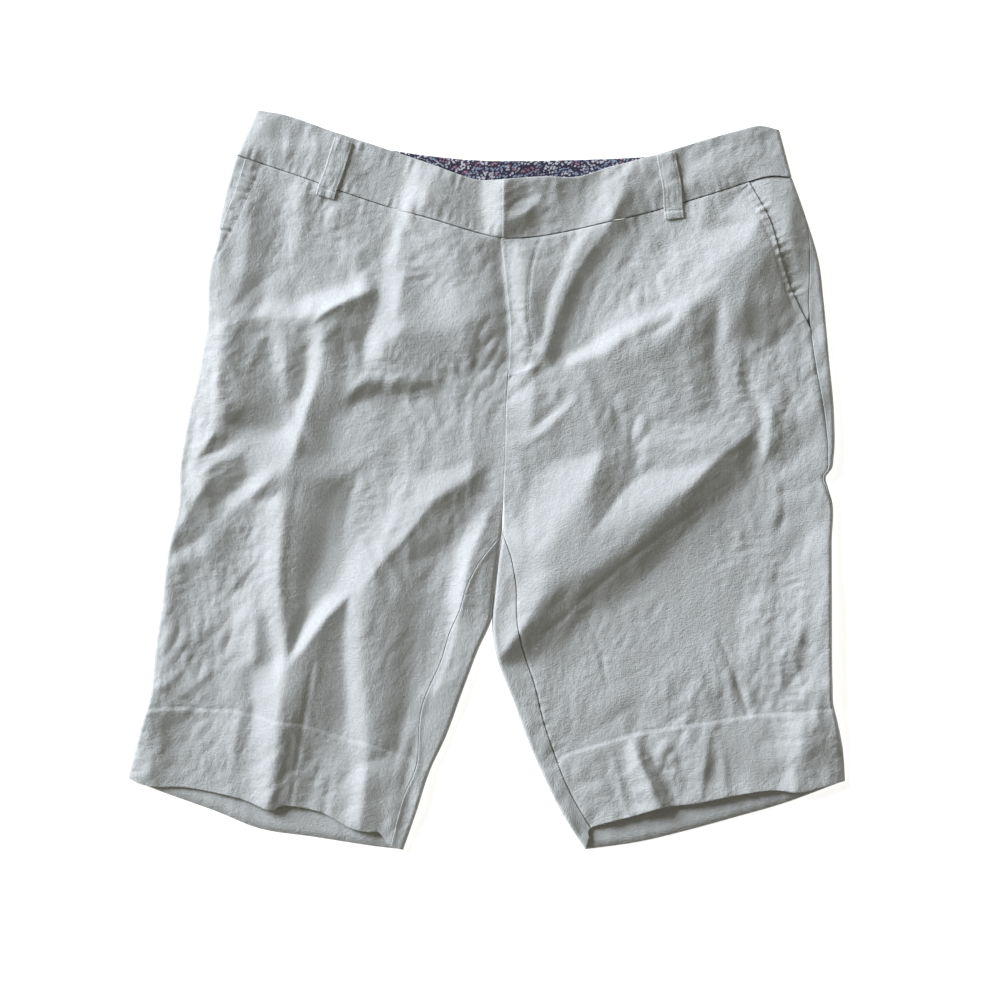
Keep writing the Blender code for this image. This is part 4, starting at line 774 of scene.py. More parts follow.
def crumple_share(x, y):
    """How crumpled each place is: 1 as a rule, more or less in the patches listed."""
    share = np.ones(np.shape(x))
    for cx, cy, reach_x, reach_y, change in CRUMPLED:
        share += change * np.exp(-((x - cx) / reach_x) ** 2 - ((y - cy) / reach_y) ** 2)
    return np.clip(share, *CRUMPLED_RANGE)


def relief_net():
    """The top layer's heights: facets, small folds, crumple, doubled hems, puckers and grooves."""
    net = Net()
    random = np.random.default_rng(CRUMPLE_SEED)
    net.lay_facets(FACETS.values())
    x, y = np.meshgrid(net.places, net.places)
    net.ease_down(hem_ease(x, y))
    for stations in FOLDS.values():
        net.add_fold(stations)
    net.blur(2)
    share = crumple_share(x, y)
    for row in CRUMPLE:
        net.heights += share * crumple(*row, random)
    for path in (RIGHT_HEM_STITCH, LEFT_HEM_STITCH):
        net.heights += HEM_RISE * hem_layer(x, y, path)
    for path, height, spacing, left, right in PUCKERS.values():
        net.add_puckers(path, height, spacing, left, right, random)
    for path, depth, width in GROOVES.values():
        net.add_groove(path, depth, width)
    net.add_fold(BAR_TACK_RIDGE)
    net.blur(1)
    return net


RELIEF = relief_net()
# Middle of each loop of the back, mm along x.
BACK_LOOPS = {"belt_loop_back_right": -112.0, "belt_loop_back_middle": 9.0, "belt_loop_back_left": 132.0}


def top_height(x, y):
    """Middle of the top layer."""
    return RELIEF.read(x, y)


# Folds of the back, which lies on the surface, mm: x, y, height and the width of each flank, as above.
BACK_FOLDS = {
    "right seat": [(-150, 150, 0.03, 5, 4), (-120, 118, 0.9, 12, 8), (-84, 96, 0.03, 5, 4)],
    "left seat": [(60, 92, 0.03, 5, 4), (104, 118, 1.0, 13, 8), (158, 138, 0.03, 5, 4)],
    "right seat, low": [(-60, 30, 0.03, 5, 4), (-88, -4, 0.8, 11, 7), (-128, -30, 0.03, 5, 4)],
    "right thigh": [(-215, 20, 0.03, 5, 4), (-190, -22, 0.9, 11, 7), (-178, -80, 0.03, 5, 4)],
    "left thigh, long": [(206, 22, 0.03, 5, 4), (150, -30, 1.1, 14, 8), (96, -72, 1.0, 13, 8),
        (44, -112, 0.03, 5, 4)],
    "right shin": [(-120, -90, 0.03, 5, 4), (-128, -140, 0.8, 11, 7), (-122, -200, 0.03, 5, 4)],
    "left shin": [(180, -110, 0.03, 5, 4), (198, -150, 0.8, 11, 7), (206, -196, 0.03, 5, 4)],
    "right side": [(-236, -70, 0.03, 5, 4), (-226, -112, 0.6, 9, 6), (-236, -160, 0.03, 5, 4)],
}


def back_net():
    """The bottom layer's heights over the surface: its folds, well rounded."""
    net = Net()
    for stations in BACK_FOLDS.values():
        net.add_fold(stations)
    net.blur(4)
    return net


BACK_RELIEF = back_net()


def back_height(x, y):
    """Middle of the bottom layer: on the surface, lifted in its folds and over each belt loop under it."""
    lift = np.zeros(np.shape(x))
    foot = smooth_curve(BACK_SEAM, x) - LOOP_TAIL
    down = ramp(y, foot - LOOP_BED_FOOT, foot - LOOP_BED)
    for middle in BACK_LOOPS.values():
        across = ramp(np.abs(x - middle), LOOP_WIDTH / 2 + LOOP_BED_SIDE, LOOP_WIDTH / 2 + LOOP_BED)
        lift = np.maximum(lift, across * down)
    return HALF + lift * (CLOTH + LOOP_ROOM) + np.maximum(BACK_RELIEF.read(x, y), 0)


# ---- the tubes of cloth ----
# Shares of a leg's length over which a change beside a seam or a pocket's foot comes about.
MOUTH_FADE = (0.03, 0.01)  # below and above a pocket's foot, where the outer fold comes up a layer
MOUTH_DIP = (0.01, 0.02)  # above and below it, where the front starts to dip into the side seam
CROTCH_FADE = 0.02
INSEAM_FADE = 0.05
STAND_OFF = (30, 8)  # mm above the crotch between which a leg's edge leaves the centre seam


class Edge:
    """A plan curve across the garment, read by its share of length from the outer end."""

    def __init__(self, points):
        self.points = smooth_path(points, 10)
        lengths = arc_lengths(self.points)
        self.share = lengths / lengths[-1]

    def bow(self, s):
        """How far the curve stands off its own chord at share s, as x and y."""
        s_in = np.clip(s, 0, 1)
        x = np.interp(s_in, self.share, self.points[:, 0])
        y = np.interp(s_in, self.share, self.points[:, 1])
        first, last = self.points[0], self.points[-1]
        return (x - first[0] - s_in * (last[0] - first[0]),
                y - first[1] - s_in * (last[1] - first[1]))


def part_of(points, x_from, x_to, count=14):
    """Stretch of an (x, y) edge between two x values."""
    x = np.linspace(x_from, x_to, count)
    return np.column_stack([x, smooth_curve(points, x)])


class Tube:
    """A flattened tube of cloth: rows run from an outer fold to an inner one, v goes down it."""

    def __init__(self, outer, inner, top, foot, back_top, back_foot, back_inner=None,
                 close_from=0.0, close_to=0.0, edge_reach=2, bare_to=0.0):
        self.outer, self.inner = outer, inner
        self.back_inner = back_inner or inner
        self.top, self.foot = Edge(top), Edge(foot)
        self.back_top, self.back_foot = Edge(back_top), Edge(back_foot)
        self.close_from, self.close_to = close_from, close_to
        self.edge_reach = edge_reach
        self.bare_to = bare_to

    def closing(self, v):
        """0 where the inner side is open for the seam above the crotch, 1 where it is folded."""
        if self.close_to <= 0:
            return np.ones(np.shape(v))
        return ramp(v, self.close_from, self.close_to)

    def fold_drop(self, v):
        """How far below the top layer the outer fold's cloth lies: a layer, down to a pocket's foot."""
        if self.bare_to <= 0:
            return np.zeros(np.shape(v))
        return LAYER_STEP * ramp(v, self.bare_to + MOUTH_FADE[0], self.bare_to - MOUTH_FADE[1])

    def fold_middle(self, v, at, drop):
        """Half height of a fold, at share at of a row."""
        x, y = self.plan(v, at, False)
        return (top_height(x, y) - drop + HALF) / 2

    def plan(self, v, s, below):
        """Plan point at share s of row v; rows bend towards the top and foot edges near them."""
        ox, oy = self.outer(v)
        ix, iy = self.back_inner(v) if below else self.inner(v)
        top = self.back_top if below else self.top
        foot = self.back_foot if below else self.foot
        top_x, top_y = top.bow(s)
        foot_x, foot_y = foot.bow(s)
        near_top, near_foot = (1 - v) ** self.edge_reach, v ** self.edge_reach
        return (ox + s * (ix - ox) + near_top * top_x + near_foot * foot_x,
                oy + s * (iy - oy) + near_top * top_y + near_foot * foot_y)

    def row_width(self, v):
        ox, oy = self.outer(v)
        ix, iy = self.inner(v)
        return np.hypot(ix - ox, iy - oy)

    def span(self, v):
        """Cloth length of a row from the middle of the outer fold to that of the inner one."""
        return self.row_width(v) + 2 * ARC_GAIN

    def inward(self, a, shut=1.0):
        """Plan distance from a fold's edge, and share of full height there, at cloth length a.

        shut is 1 at a fold, where the cloth turns down, and 0 at an open seam, where it lies flat.
        """
        turn = np.clip(a / FOLD_RADIUS, 0, math.pi / 2)
        quarter = FOLD_RADIUS * math.pi / 2
        folded = FOLD_RADIUS * (1 - np.cos(turn))
        flat = a * 2 / math.pi
        plan = np.where(a < quarter, flat + shut * (folded - flat), a - ARC_GAIN)
        return np.where(a < 0, a * 2 / math.pi, plan), np.sin(turn)

    def across(self, v, from_outer):
        """Share of its row at a cloth length from the outer fold, then what turned_down asks for."""
        width, span = self.row_width(v), self.span(v)
        outer_plan, outer_turn = self.inward(from_outer)
        inner_plan, inner_turn = self.inward(span - from_outer, self.closing(v))
        s = np.where(from_outer < span / 2, outer_plan, width - inner_plan) / width
        return s, (width, outer_turn, inner_turn)

    def point(self, v, a, drop=0.0):
        """Point of the cloth's middle.  a in [0, span]: top layer.  a beyond it or below 0: under."""
        span = self.span(v)
        below = (a > span) | (a < 0)
        s, turns = self.across(v, np.where(a < 0, -a, np.where(a > span, 2 * span - a, a)))
        x_top, y_top = self.plan(v, s, False)
        x_low, y_low = self.plan(v, s, True)
        full = np.where(below, back_height(x_low, y_low), top_height(x_top, y_top) - drop)
        x, y = np.where(below, x_low, x_top), np.where(below, y_low, y_top)
        return np.stack([x, y, self.turned_down(v, full, *turns)], axis=-1)

    def top_point(self, v, a, drop):
        """Top layer point for a row that may run on past the inner edge, as a fly underlap does."""
        s, turns = self.across(v, a)
        x, y = self.plan(v, s, False)
        return np.stack([x, y, self.turned_down(v, top_height(x, y) - drop, *turns)], axis=-1)

    def turned_down(self, v, full, width, outer_turn, inner_turn):
        """Heights brought to half height where the row's ends turn round a fold."""
        share = FOLD_RADIUS / width
        middle = self.fold_middle(v, share + 0 * full, self.fold_drop(v))
        full = middle + (full - middle) * outer_turn
        middle = self.fold_middle(v, 1 - share + 0 * full, 0.0)
        return middle + (full - middle) * (1 - self.closing(v) * (1 - inner_turn))


def edge_line(stations, y_top, y_foot):
    """Edge as a function of v, read from (y, x) stations between two heights."""
    def at(v):
        y = y_top + (y_foot - y_top) * np.asarray(v, float)
        return smooth_curve(stations, y), y
    return at


def inner_line(leg_stations, y_top, raise_back=0.0):
    """Centre seam down to the crotch, then the inner fold of a leg to its hem."""
    y_foot = leg_stations[-1][0]
    y_crotch, x_crotch = leg_stations[0]
    stand_off = x_crotch - float(smooth_curve(CENTRE_FRONT, y_crotch))

    def at(v):
        v = np.asarray(v, float)
        y = y_top + (y_foot - y_top) * v
        upper = smooth_curve(CENTRE_FRONT, np.maximum(y, y_crotch))
        upper = upper + stand_off * ramp(y, y_crotch + STAND_OFF[0], y_crotch + STAND_OFF[1])
        lower = smooth_curve(leg_stations, np.minimum(y, y_crotch))
        y_back = y + raise_back * np.clip((y - y_crotch) / (y_top - y_crotch), 0, 1)
        return np.where(y > y_crotch, upper, lower), y_back
    return at


class Seams:
    """Where a leg's panels part, as cloth lengths from its folds at share v down the leg."""

    def __init__(self, side):
        self.wraps_side = side == "left"
        self.inseam_table = LEFT_INSEAM if side == "left" else RIGHT_INSEAM
        self.mouth_table = LEFT_MOUTH if side == "left" else RIGHT_MOUTH
        self.mouth_foot = self.mouth_table[-1][0]

    def inseam(self, v):
        return np.where(v > CROTCH_V, smooth_curve(self.inseam_table, v), 0)

    def side_seam(self, v):
        return np.maximum(smooth_curve(LEFT_SIDE_WRAP, v), 0) if self.wraps_side else 0 * v

    def mouth(self, v):
        return smooth_curve(self.mouth_table, v)


def leg_tube(side):
    """A leg from the waist seam to its hem; its back starts at the seam of the back."""
    outer_stations = RIGHT_OUTER if side == "right" else LEFT_OUTER
    inner_stations = RIGHT_INNER if side == "right" else LEFT_INNER
    outer_x = outer_stations[0][1]
    return Tube(
        outer=edge_line(outer_stations, outer_stations[0][0], outer_stations[-1][0]),
        inner=inner_line(inner_stations, FRONT_SEAM_Y),
        back_inner=inner_line(inner_stations, FRONT_SEAM_Y, BACK_SEAM_Y - FRONT_SEAM_Y),
        top=part_of(WAIST_SEAM, outer_x, CENTRE_SEAM_X),
        foot=RIGHT_HEM if side == "right" else LEFT_HEM,
        back_top=part_of(BACK_SEAM, outer_x, CENTRE_SEAM_X),
        back_foot=RIGHT_BACK_HEM if side == "right" else LEFT_BACK_HEM,
        close_from=CROTCH_V - INSEAM_FADE, close_to=CROTCH_V, bare_to=Seams(side).mouth_foot)


def band_tube():
    """Waistband as a tube lying across: outer end at the right side, inner end at the left side."""
    def end(corners):
        (top_x, top_y), (seam_x, seam_y) = corners

        def at(v):
            v = np.asarray(v)
            return top_x + (seam_x - top_x) * v, top_y + (seam_y - top_y) * v
        return at
    return Tube(outer=end(BAND_RIGHT_END), inner=end(BAND_LEFT_END), top=WAIST_TOP, foot=WAIST_SEAM,
                back_top=BACK_TOP, back_foot=BACK_SEAM, edge_reach=1)


# ---- meshes ----
RIM = np.array([0.0, 0.08, 0.3, 0.75])  # mm from a raw edge to its first columns


def spread(stops, counts, rim=RIM):
    """Columns of a grid: rim columns at both ends, counts[i] even steps in the stretch after stop i.

    Each count and each rim is a whole number of inner steps.
    """
    stops = [np.asarray(stop, float) for stop in stops]
    way = np.sign(stops[-1] - stops[0])
    marks = [stops[0] + way * rim[-1], *stops[1:-1], stops[-1] - way * rim[-1]]
    columns = [stops[0] + way * r for r in rim]
    for start, end, count in zip(marks[:-1], marks[1:], counts):
        columns += [start + (end - start) * (i + 1) / count for i in range(count)]
    columns += [stops[-1] - way * r for r in rim[-2::-1]]
    return np.stack(columns, axis=-1)


def grid_normals(points):
    """Outward normals of a grid whose columns run to the wearer's right and rows towards the hem."""
    normal = np.cross(np.gradient(points, axis=1), np.gradient(points, axis=0))
    return normal / (np.linalg.norm(normal, axis=2, keepdims=True) + 1e-12)


def rim_distance(points):
    """Length along the grid from each point to the nearest of its four edges."""
    across = np.cumsum(np.linalg.norm(np.diff(points, axis=1, prepend=points[:, :1]), axis=2), axis=1)
    down = np.cumsum(np.linalg.norm(np.diff(points, axis=0, prepend=points[:1]), axis=2), axis=0)
    ways = [across, across[:, -1:] - across, down, down[-1:] - down]
    return np.minimum.reduce(ways)


INNER_STEP = 3  # the hidden inner side has a point for every third one outside


def wall_faces(rows, cols):
    """Faces of the outer grid, and of a coarser inner grid that shares its rim and faces the other way.

    The inner cells along the rim take in all the rim's points, so that the shell is closed.
    """
    outer = np.arange(rows * cols).reshape(rows, cols)
    corners = outer[:-1, :-1], outer[:-1, 1:], outer[1:, 1:], outer[1:, :-1]
    faces = np.stack(corners, -1).reshape(-1, 4)
    inner = outer[::INNER_STEP, ::INNER_STEP].copy()
    down, across = inner.shape
    own = np.arange((down - 2) * (across - 2)).reshape(down - 2, across - 2)
    inner[1:-1, 1:-1] = rows * cols + own
    cells = []
    for i in range(down - 1):
        for j in range(across - 1):
            r, c = i * INNER_STEP, j * INNER_STEP
            r_next, c_next = r + INNER_STEP, c + INNER_STEP
            head = outer[r, c:c_next] if i == 0 else inner[i, j:j + 1]
            left = outer[r:r_next, c_next] if j == across - 2 else inner[i:i + 1, j + 1]
            foot = outer[r_next, c_next:c:-1] if i == down - 2 else inner[i + 1:i + 2, j + 1]
            right = outer[r_next:r:-1, c] if j == 0 else inner[i + 1:i + 2, j]
            cells.append(tuple(np.concatenate([head, left, foot, right])[::-1].tolist()))
    return faces.tolist() + cells


def make_mesh(name, points, faces, material, uv=None):
    """Object at the origin from points in mm and faces, shaded smooth, with its cloth map if given."""
    mesh = bpy.data.meshes.new(name)
    mesh.from_pydata((points - np.array([CENTRE_X, CENTRE_Y, 0])) * MM, [], faces)
    mesh.shade_smooth()
    if uv is not None:
        corner = np.empty(len(mesh.loops), np.int32)
        mesh.loops.foreach_get("vertex_index", corner)
        mesh.uv_layers.new(name="cloth").data.foreach_set("uv", (uv[corner] * MM).ravel())
    mesh.materials.append(material)
    piece = bpy.data.objects.new(name, mesh)
    bpy.context.scene.collection.objects.link(piece)
    return piece


def cloth_wall(name, points, uv, material, turned=1.0, inner_depth=HALF, edge=HALF * 1.5):
    """Closed shell round a grid of middle points: half a thickness out and inner_depth in.

    Both thin to nothing at the rim in a quarter circle, so that the edge is round.
    """
    rows, cols = points.shape[:2]
    normal = grid_normals(points) * turned
    profile = np.sqrt(1 - (1 - np.clip(rim_distance(points) / edge, 0, 1)) ** 2)[..., None]
    outside = points + normal * HALF * profile
    inside = points - normal * np.broadcast_to(inner_depth, (rows, cols))[..., None] * profile
    within = slice(INNER_STEP, -INNER_STEP, INNER_STEP)
    vertices = np.concatenate([outside.reshape(-1, 3), inside[within, within].reshape(-1, 3)])
    flat = np.concatenate([uv.reshape(-1, 2), uv[within, within].reshape(-1, 2)])
    faces = wall_faces(rows, cols)
    if turned < 0:
        faces = [face[::-1] for face in faces]
    return make_mesh(name + "_cloth", vertices, faces, material, flat)


def dress(piece, node):
    """Hangs the piece on the root body and hides the imported part of that name, which it stands in for."""
    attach(piece, "root")
    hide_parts(node)


# ---- panels ----
# Rows of each grid, and its columns in each stretch across it; they lie closer near an edge or a fold.
FRONT_ROWS, FRONT_COLUMNS, FRONT_NEAR = 378, (9, 201, 9), 7.0
BACK_ROWS, BACK_COLUMNS, BACK_NEAR = 252, (30, 225, 21), 6.0
BEARER_ROWS, BEARER_COLUMNS, BEARER_NEAR = 90, (6, 33), 4.0
BAND_ROWS, BAND_COLUMNS, BAND_NEAR = 42, (228, 15, 90, 15, 228), 6.0
FACING_COLUMNS = (150,)
BAND_INSIDE = HALF * 1.8  # how far the waistband's inner side lies below its middle: it is double
BAND_EDGE = 0.75  # mm over which its edges and those of the loops round off
LOOP_INSIDE = HALF * 1.6
LOOP_EDGE = 0.9
FACING_CLEAR = 9.0  # from each side fold to the facing's ends
FACING_DEPTH = (0.012, 0.97)  # shares of the band's depth: where it starts, and how deep it is
FACING_LIFT = CLOTH + 0.35
BEARER_FOOT = 0.03  # share of a leg's length by which a bearer ends below the pocket's foot
BEARER_TUCK = 0.025  # and by which its taper starts above it
HEM_FADE = 0.008  # share of a leg's length over which the second layer of a hem sets in
# Soft puckers of the back hems' inside, sums of sines: mm for each radian, share, start.  They are
# stronger and weaker in turn, with RIPPLE_SWELL mm for each radian, and set in over RIPPLE_FADE.
RIPPLE_HEIGHT = 0.2
RIPPLES = [(1.5, 1.0, 0.0), (2.2, 0.7, 1.0), (3.9, 0.8, 2.0)]
RIPPLE_SWELL = 17
RIPPLE_FADE = (0.91, 0.96)


def rows_down(count, length, foot=1.0):
    """Rows of a panel as shares of its tube's length, from beside the seam at its head to its foot."""
    return spread([np.array(SEAM_GAP / length), np.array(foot)], [count], RIM / length)


def hem_depth_inside(v):
    """Inner depth of the wall: plain above the hem, with the turned-up layer inside it."""
    share = HEM_DEPTH / LEG_LENGTH
    return HALF + CLOTH * ramp(v, 1 - share - HEM_FADE, 1 - share)


def hem_ripple(x, v):
    """Soft upright puckers on the inside of the back's hem, dying out up the leg."""
    beats = sum(share * np.sin(x / length + start) for length, share, start in RIPPLES)
    return RIPPLE_HEIGHT * beats * ramp(v, *RIPPLE_FADE) * (0.6 + 0.4 * np.sin(x / RIPPLE_SWELL + 1))


def dip_near(distance):
    """How far cloth rolls down at a distance from the seam it is sewn into."""
    return SEAM_DIP * np.exp(-(np.maximum(distance, 0) / SEAM_ROLL) ** 2)


def lap_step(a, edge):
    """How far cloth at cloth length a has stepped down a layer where it runs in under the lap's edge."""
    return ramp(a, edge - LAP_DIP[0], edge - LAP_DIP[1])


def flat_map(v, a, length=LEG_LENGTH):
    """Cloth map in mm: across the panel and down it."""
    return np.stack([a, -v * length], axis=-1)


def leg_piece(name, side, points, v, a, linen, depth=HALF):
    """Makes the shell of one piece of a leg, hangs it on the root body and hides the imported part it
    stands in for.

    Rows run from the side seam inwards, so the right leg's grid faces the other way.
    """
    turned = -1.0 if side == "right" else 1.0
    piece = cloth_wall(name, points, flat_map(v, a), linen, turned, depth)
    dress(piece, name)


def front_panel(side, tube, linen):
    """Columns run from the pocket mouth or side fold over the top to the centre seam or inseam."""
    seams = Seams(side)
    rows = rows_down(FRONT_ROWS, LEG_LENGTH)
    start = np.where(rows < seams.mouth_foot, seams.mouth(rows), seams.side_seam(rows)) + SEAM_GAP / 2
    end = tube.span(rows) - SEAM_GAP / 2 - CENTRE_GAP * (1 - tube.closing(rows)) - seams.inseam(rows)
    if side == "right":
        end = end + LAP_WIDTH * ramp(tube.inner(rows)[1], LAP_FOOT_Y, LAP_FOOT_Y + LAP_TAPER)
    a = spread([start, start + FRONT_NEAR, end - FRONT_NEAR, end], FRONT_COLUMNS)
    v = rows[:, None] + 0 * a
    drop = dip_near(v * LEG_LENGTH)
    if side == "right":
        lowered = ramp(tube.inner(v)[1], LAP_FOOT_Y - LAP_DIP_Y[0], LAP_FOOT_Y + LAP_DIP_Y[1])
        drop = drop + LAYER_STEP * lowered * lap_step(a, tube.span(v))
    else:
        inseam = ramp(v, CROTCH_V - CROTCH_FADE, CROTCH_V + CROTCH_FADE)
        drop = drop + dip_near(end[:, None] - a) * inseam
        side_seam = ramp(v, seams.mouth_foot - MOUTH_DIP[0], seams.mouth_foot + MOUTH_DIP[1])
        drop = drop + dip_near(a - start[:, None]) * side_seam
    points = tube.top_point(v, a, drop)
    leg_piece("front_" + side, side, points, v, a, linen, hem_depth_inside(v))


def back_panel(side, tube, linen):
    """Columns run from the inseam on top round the inner fold and on below to the side seam."""
    seams = Seams(side)
    rows = rows_down(BACK_ROWS, LEG_LENGTH)
    span = tube.span(rows)
    start = span + SEAM_GAP / 2 + CENTRE_GAP * (1 - tube.closing(rows)) - seams.inseam(rows)
    end = 2 * span + seams.side_seam(rows) - SEAM_GAP / 2
    a = spread([start, span + BACK_NEAR, 2 * span - BACK_NEAR, end], BACK_COLUMNS)
    v = rows[:, None] + 0 * a
    across = tube.span(v)
    past_side = a > 2 * across
    drop = tube.fold_drop(v) * past_side
    if side == "right":
        lifted = np.exp(-((a - start[:, None]) / RIGHT_INSEAM_ROLL) ** 2)
        drop = drop - RIGHT_INSEAM_LIFT * lifted * ramp(v, CROTCH_V, CROTCH_V + INSEAM_FADE)
    points = tube.point(v, np.where(past_side, a - 2 * across, a), drop)
    depth = hem_depth_inside(v) + hem_ripple(points[..., 0], v)
    leg_piece("back_" + side, side, points, v, a, linen, depth)


def pocket_bearer(side, tube, linen):
    """Cloth behind the pocket mouth, one layer down, from under the front to the side seam."""
    seams = Seams(side)
    rows = rows_down(BEARER_ROWS, LEG_LENGTH, seams.mouth_foot + BEARER_FOOT)
    tucked = BEARER_TAPER * ramp(rows, seams.mouth_foot - BEARER_TUCK, seams.mouth_foot)
    start = seams.side_seam(rows) + SEAM_GAP / 2 + tucked
    a = spread([start, start + BEARER_NEAR, seams.mouth(rows) + BEARER_UNDERCUT], BEARER_COLUMNS)
    v = rows[:, None] + 0 * a
    points = tube.top_point(v, a, LAYER_STEP + dip_near(v * LEG_LENGTH))
    leg_piece("pocket_bearer_" + side, side, points, v, a, linen)


def length_at_x(tube, rows, x, trials=500):
    """For each row, cloth length from the outer fold to the top-layer point of the band at x."""
    def find(v):
        trial = np.linspace(0, float(tube.span(v)), trials)
        return np.interp(x, tube.point(np.full(trials, v), trial)[:, 0], trial)
    return np.array([find(v) for v in rows])


def waistband(linen, print_cloth):
    """One strip from the underlap on the right front, round the back, to the lap's edge; its facing."""
    tube = band_tube()
    rows = spread([np.array(0.0), np.array(1 - SEAM_GAP / BAND_DEPTH)], [BAND_ROWS], RIM / BAND_DEPTH)
    span = tube.span(rows)
    lap_edge = length_at_x(tube, rows, LAP_EDGE_X)
    a = spread([lap_edge + LAP_WIDTH, BAND_NEAR + 0 * rows, -BAND_NEAR + 0 * rows, -span + BAND_NEAR,
                -span - BAND_NEAR, lap_edge - 2 * span], BAND_COLUMNS)
    v = rows[:, None] + 0 * a
    drop = LAYER_STEP * lap_step(a, lap_edge[:, None])
    turned = np.where(a < -tube.span(v), a + 2 * tube.span(v), a)
    band = cloth_wall("waistband", tube.point(v, turned, drop), flat_map(v, a, BAND_DEPTH), linen,
                      inner_depth=BAND_INSIDE, edge=BAND_EDGE)
    dress(band, "waistband")

    a = spread([-FACING_CLEAR + 0 * rows, -span + FACING_CLEAR], FACING_COLUMNS)
    v = rows[:, None] + 0 * a
    points = tube.point(v * FACING_DEPTH[1] + FACING_DEPTH[0], a)
    points[..., 2] += FACING_LIFT
    facing = cloth_wall("waistband_facing", points, flat_map(v, a, BAND_DEPTH), print_cloth)
    dress(facing, "waistband_facing")


# ---- belt loops ----
# Middle line of each front loop, mm: x, y, height over the band, down from its head.
FRONT_LOOPS = {
    "belt_loop_front_right": [(-116, 271.5, 1.3), (-119, 262, 1.5), (-124, 246, 1.8), (-129, 233, 1.5),
                              (-131, 226, 1.3)],
    "belt_loop_front_left": [(141.5, 261, 1.3), (143.5, 250, 1.6), (146.5, 234, 1.9), (147.5, 218, 1.5),
                             (148.5, 209, 1.3)],
}
LOOP_ROWS, LOOP_COLUMNS = 54, 21
LOOP_STITCH_INSET = 1.9
LOOP_GROOVE = (0.35, 0.8)  # depth and width of the groove along each row of its stitches
LOOP_ROLL = (0.3, 1.4)  # how far down, over how much of its width, each edge rolls
LOOP_TUCK = 5.5  # folded end of a loop, sewn down by a bar tack
LOOP_TUCK_RISE = 0.5
LOOP_TUCK_EDGE = (1.0, 0.6)  # beyond the tuck and before its end, where it rises
LOOP_TUCK_GROOVE = (0.5, 0.8, 0.7)  # depth, place beyond the tuck, and width
LOOP_WRINKLE = (0.16, 2.3, 7.1)  # height, and mm along it for each radian of its two sines
LOOP_HEAD = 2.0  # how far a back loop starts below the band's top
LOOP_FLATNESS = 0.2  # share of their relief that the loops of the back keep


def loop_surface(path, height_at):
    """Strip along a middle line: across it the edges roll down, along it the tuck and wrinkles rise.

    Returns the grid of middle points and its cloth map.
    """
    line = smooth_path(path, 10)
    lengths = arc_lengths(line)
    t = spread([np.array(0.0), np.array(lengths[-1])], [LOOP_ROWS])
    w = spread([np.array(LOOP_WIDTH / 2), np.array(-LOOP_WIDTH / 2)], [LOOP_COLUMNS])
    centre = np.stack([np.interp(t, lengths, line[:, k]) for k in range(3)], axis=-1)
    heading = np.gradient(centre[:, :2], t, axis=0)
    heading /= np.linalg.norm(heading, axis=1, keepdims=True)
    x = centre[:, None, 0] - heading[:, None, 1] * w
    y = centre[:, None, 1] + heading[:, None, 0] * w
    z = height_at(x, y) + centre[:, None, 2]
    edge = np.abs(w)[None, :]
    depth, width = LOOP_GROOVE
    z = z - depth * np.exp(-((edge - LOOP_WIDTH / 2 + LOOP_STITCH_INSET) / width) ** 2)
    z = z - LOOP_ROLL[0] * ramp(edge, LOOP_WIDTH / 2 - LOOP_ROLL[1], LOOP_WIDTH / 2)
    from_foot = (lengths[-1] - t)[:, None]
    z = z + LOOP_TUCK_RISE * ramp(from_foot, LOOP_TUCK + LOOP_TUCK_EDGE[0], LOOP_TUCK - LOOP_TUCK_EDGE[1])
    depth, beyond, width = LOOP_TUCK_GROOVE
    z = z - depth * np.exp(-((from_foot - LOOP_TUCK - beyond) / width) ** 2)
    height, fine, coarse = LOOP_WRINKLE
    z = z + height * np.sin(t[:, None] / fine + 0.25 * w) * np.sin(t[:, None] / coarse + 0.8)
    return np.stack([x, y, z], axis=-1), np.stack([0 * z + w, -t[:, None] + 0 * z], axis=-1)


def belt_loops(linen):
    """Two loops over the front of the band and three flat ones under its back."""
    for name, path in FRONT_LOOPS.items():
        points, uv = loop_surface(path, top_height)
        loop = cloth_wall(name, points, uv, linen, inner_depth=LOOP_INSIDE, edge=LOOP_EDGE)
        dress(loop, name)
    for name, x in BACK_LOOPS.items():
        head = float(smooth_curve(BACK_TOP, x)) - LOOP_HEAD
        foot = float(smooth_curve(BACK_SEAM, x)) - LOOP_TAIL
        path = [(x, y, 0) for y in (head, (head + foot) / 2, foot)]
        points, uv = loop_surface(path, lambda px, py: 0 * px)
        points[..., 2] = HALF + (points[..., 2] - points[..., 2].min()) * LOOP_FLATNESS
        loop = cloth_wall(name, points, uv, linen)
        dress(loop, name)


# ---- thread ----
STITCH_LENGTH = 2.6
STITCH_GAP = 0.9
STITCH_RINGS, STITCH_SIDES = 5, 6
STITCH_BLUNTNESS = 0.6  # below 1 the ends of a stitch are blunter than an ellipse
THREAD = 0.42  # thickness
THREAD_LIFT = 0.02  # of a stitch's middle over the face of the cloth
POCKET_TACKS = [((-186, 247), (-190, 238)), ((201, 232), (206, 236)), ((246, 124), (252, 128))]
FLY_TACK = ((16, 83.5), (34, 88.5), 1.8, 30)


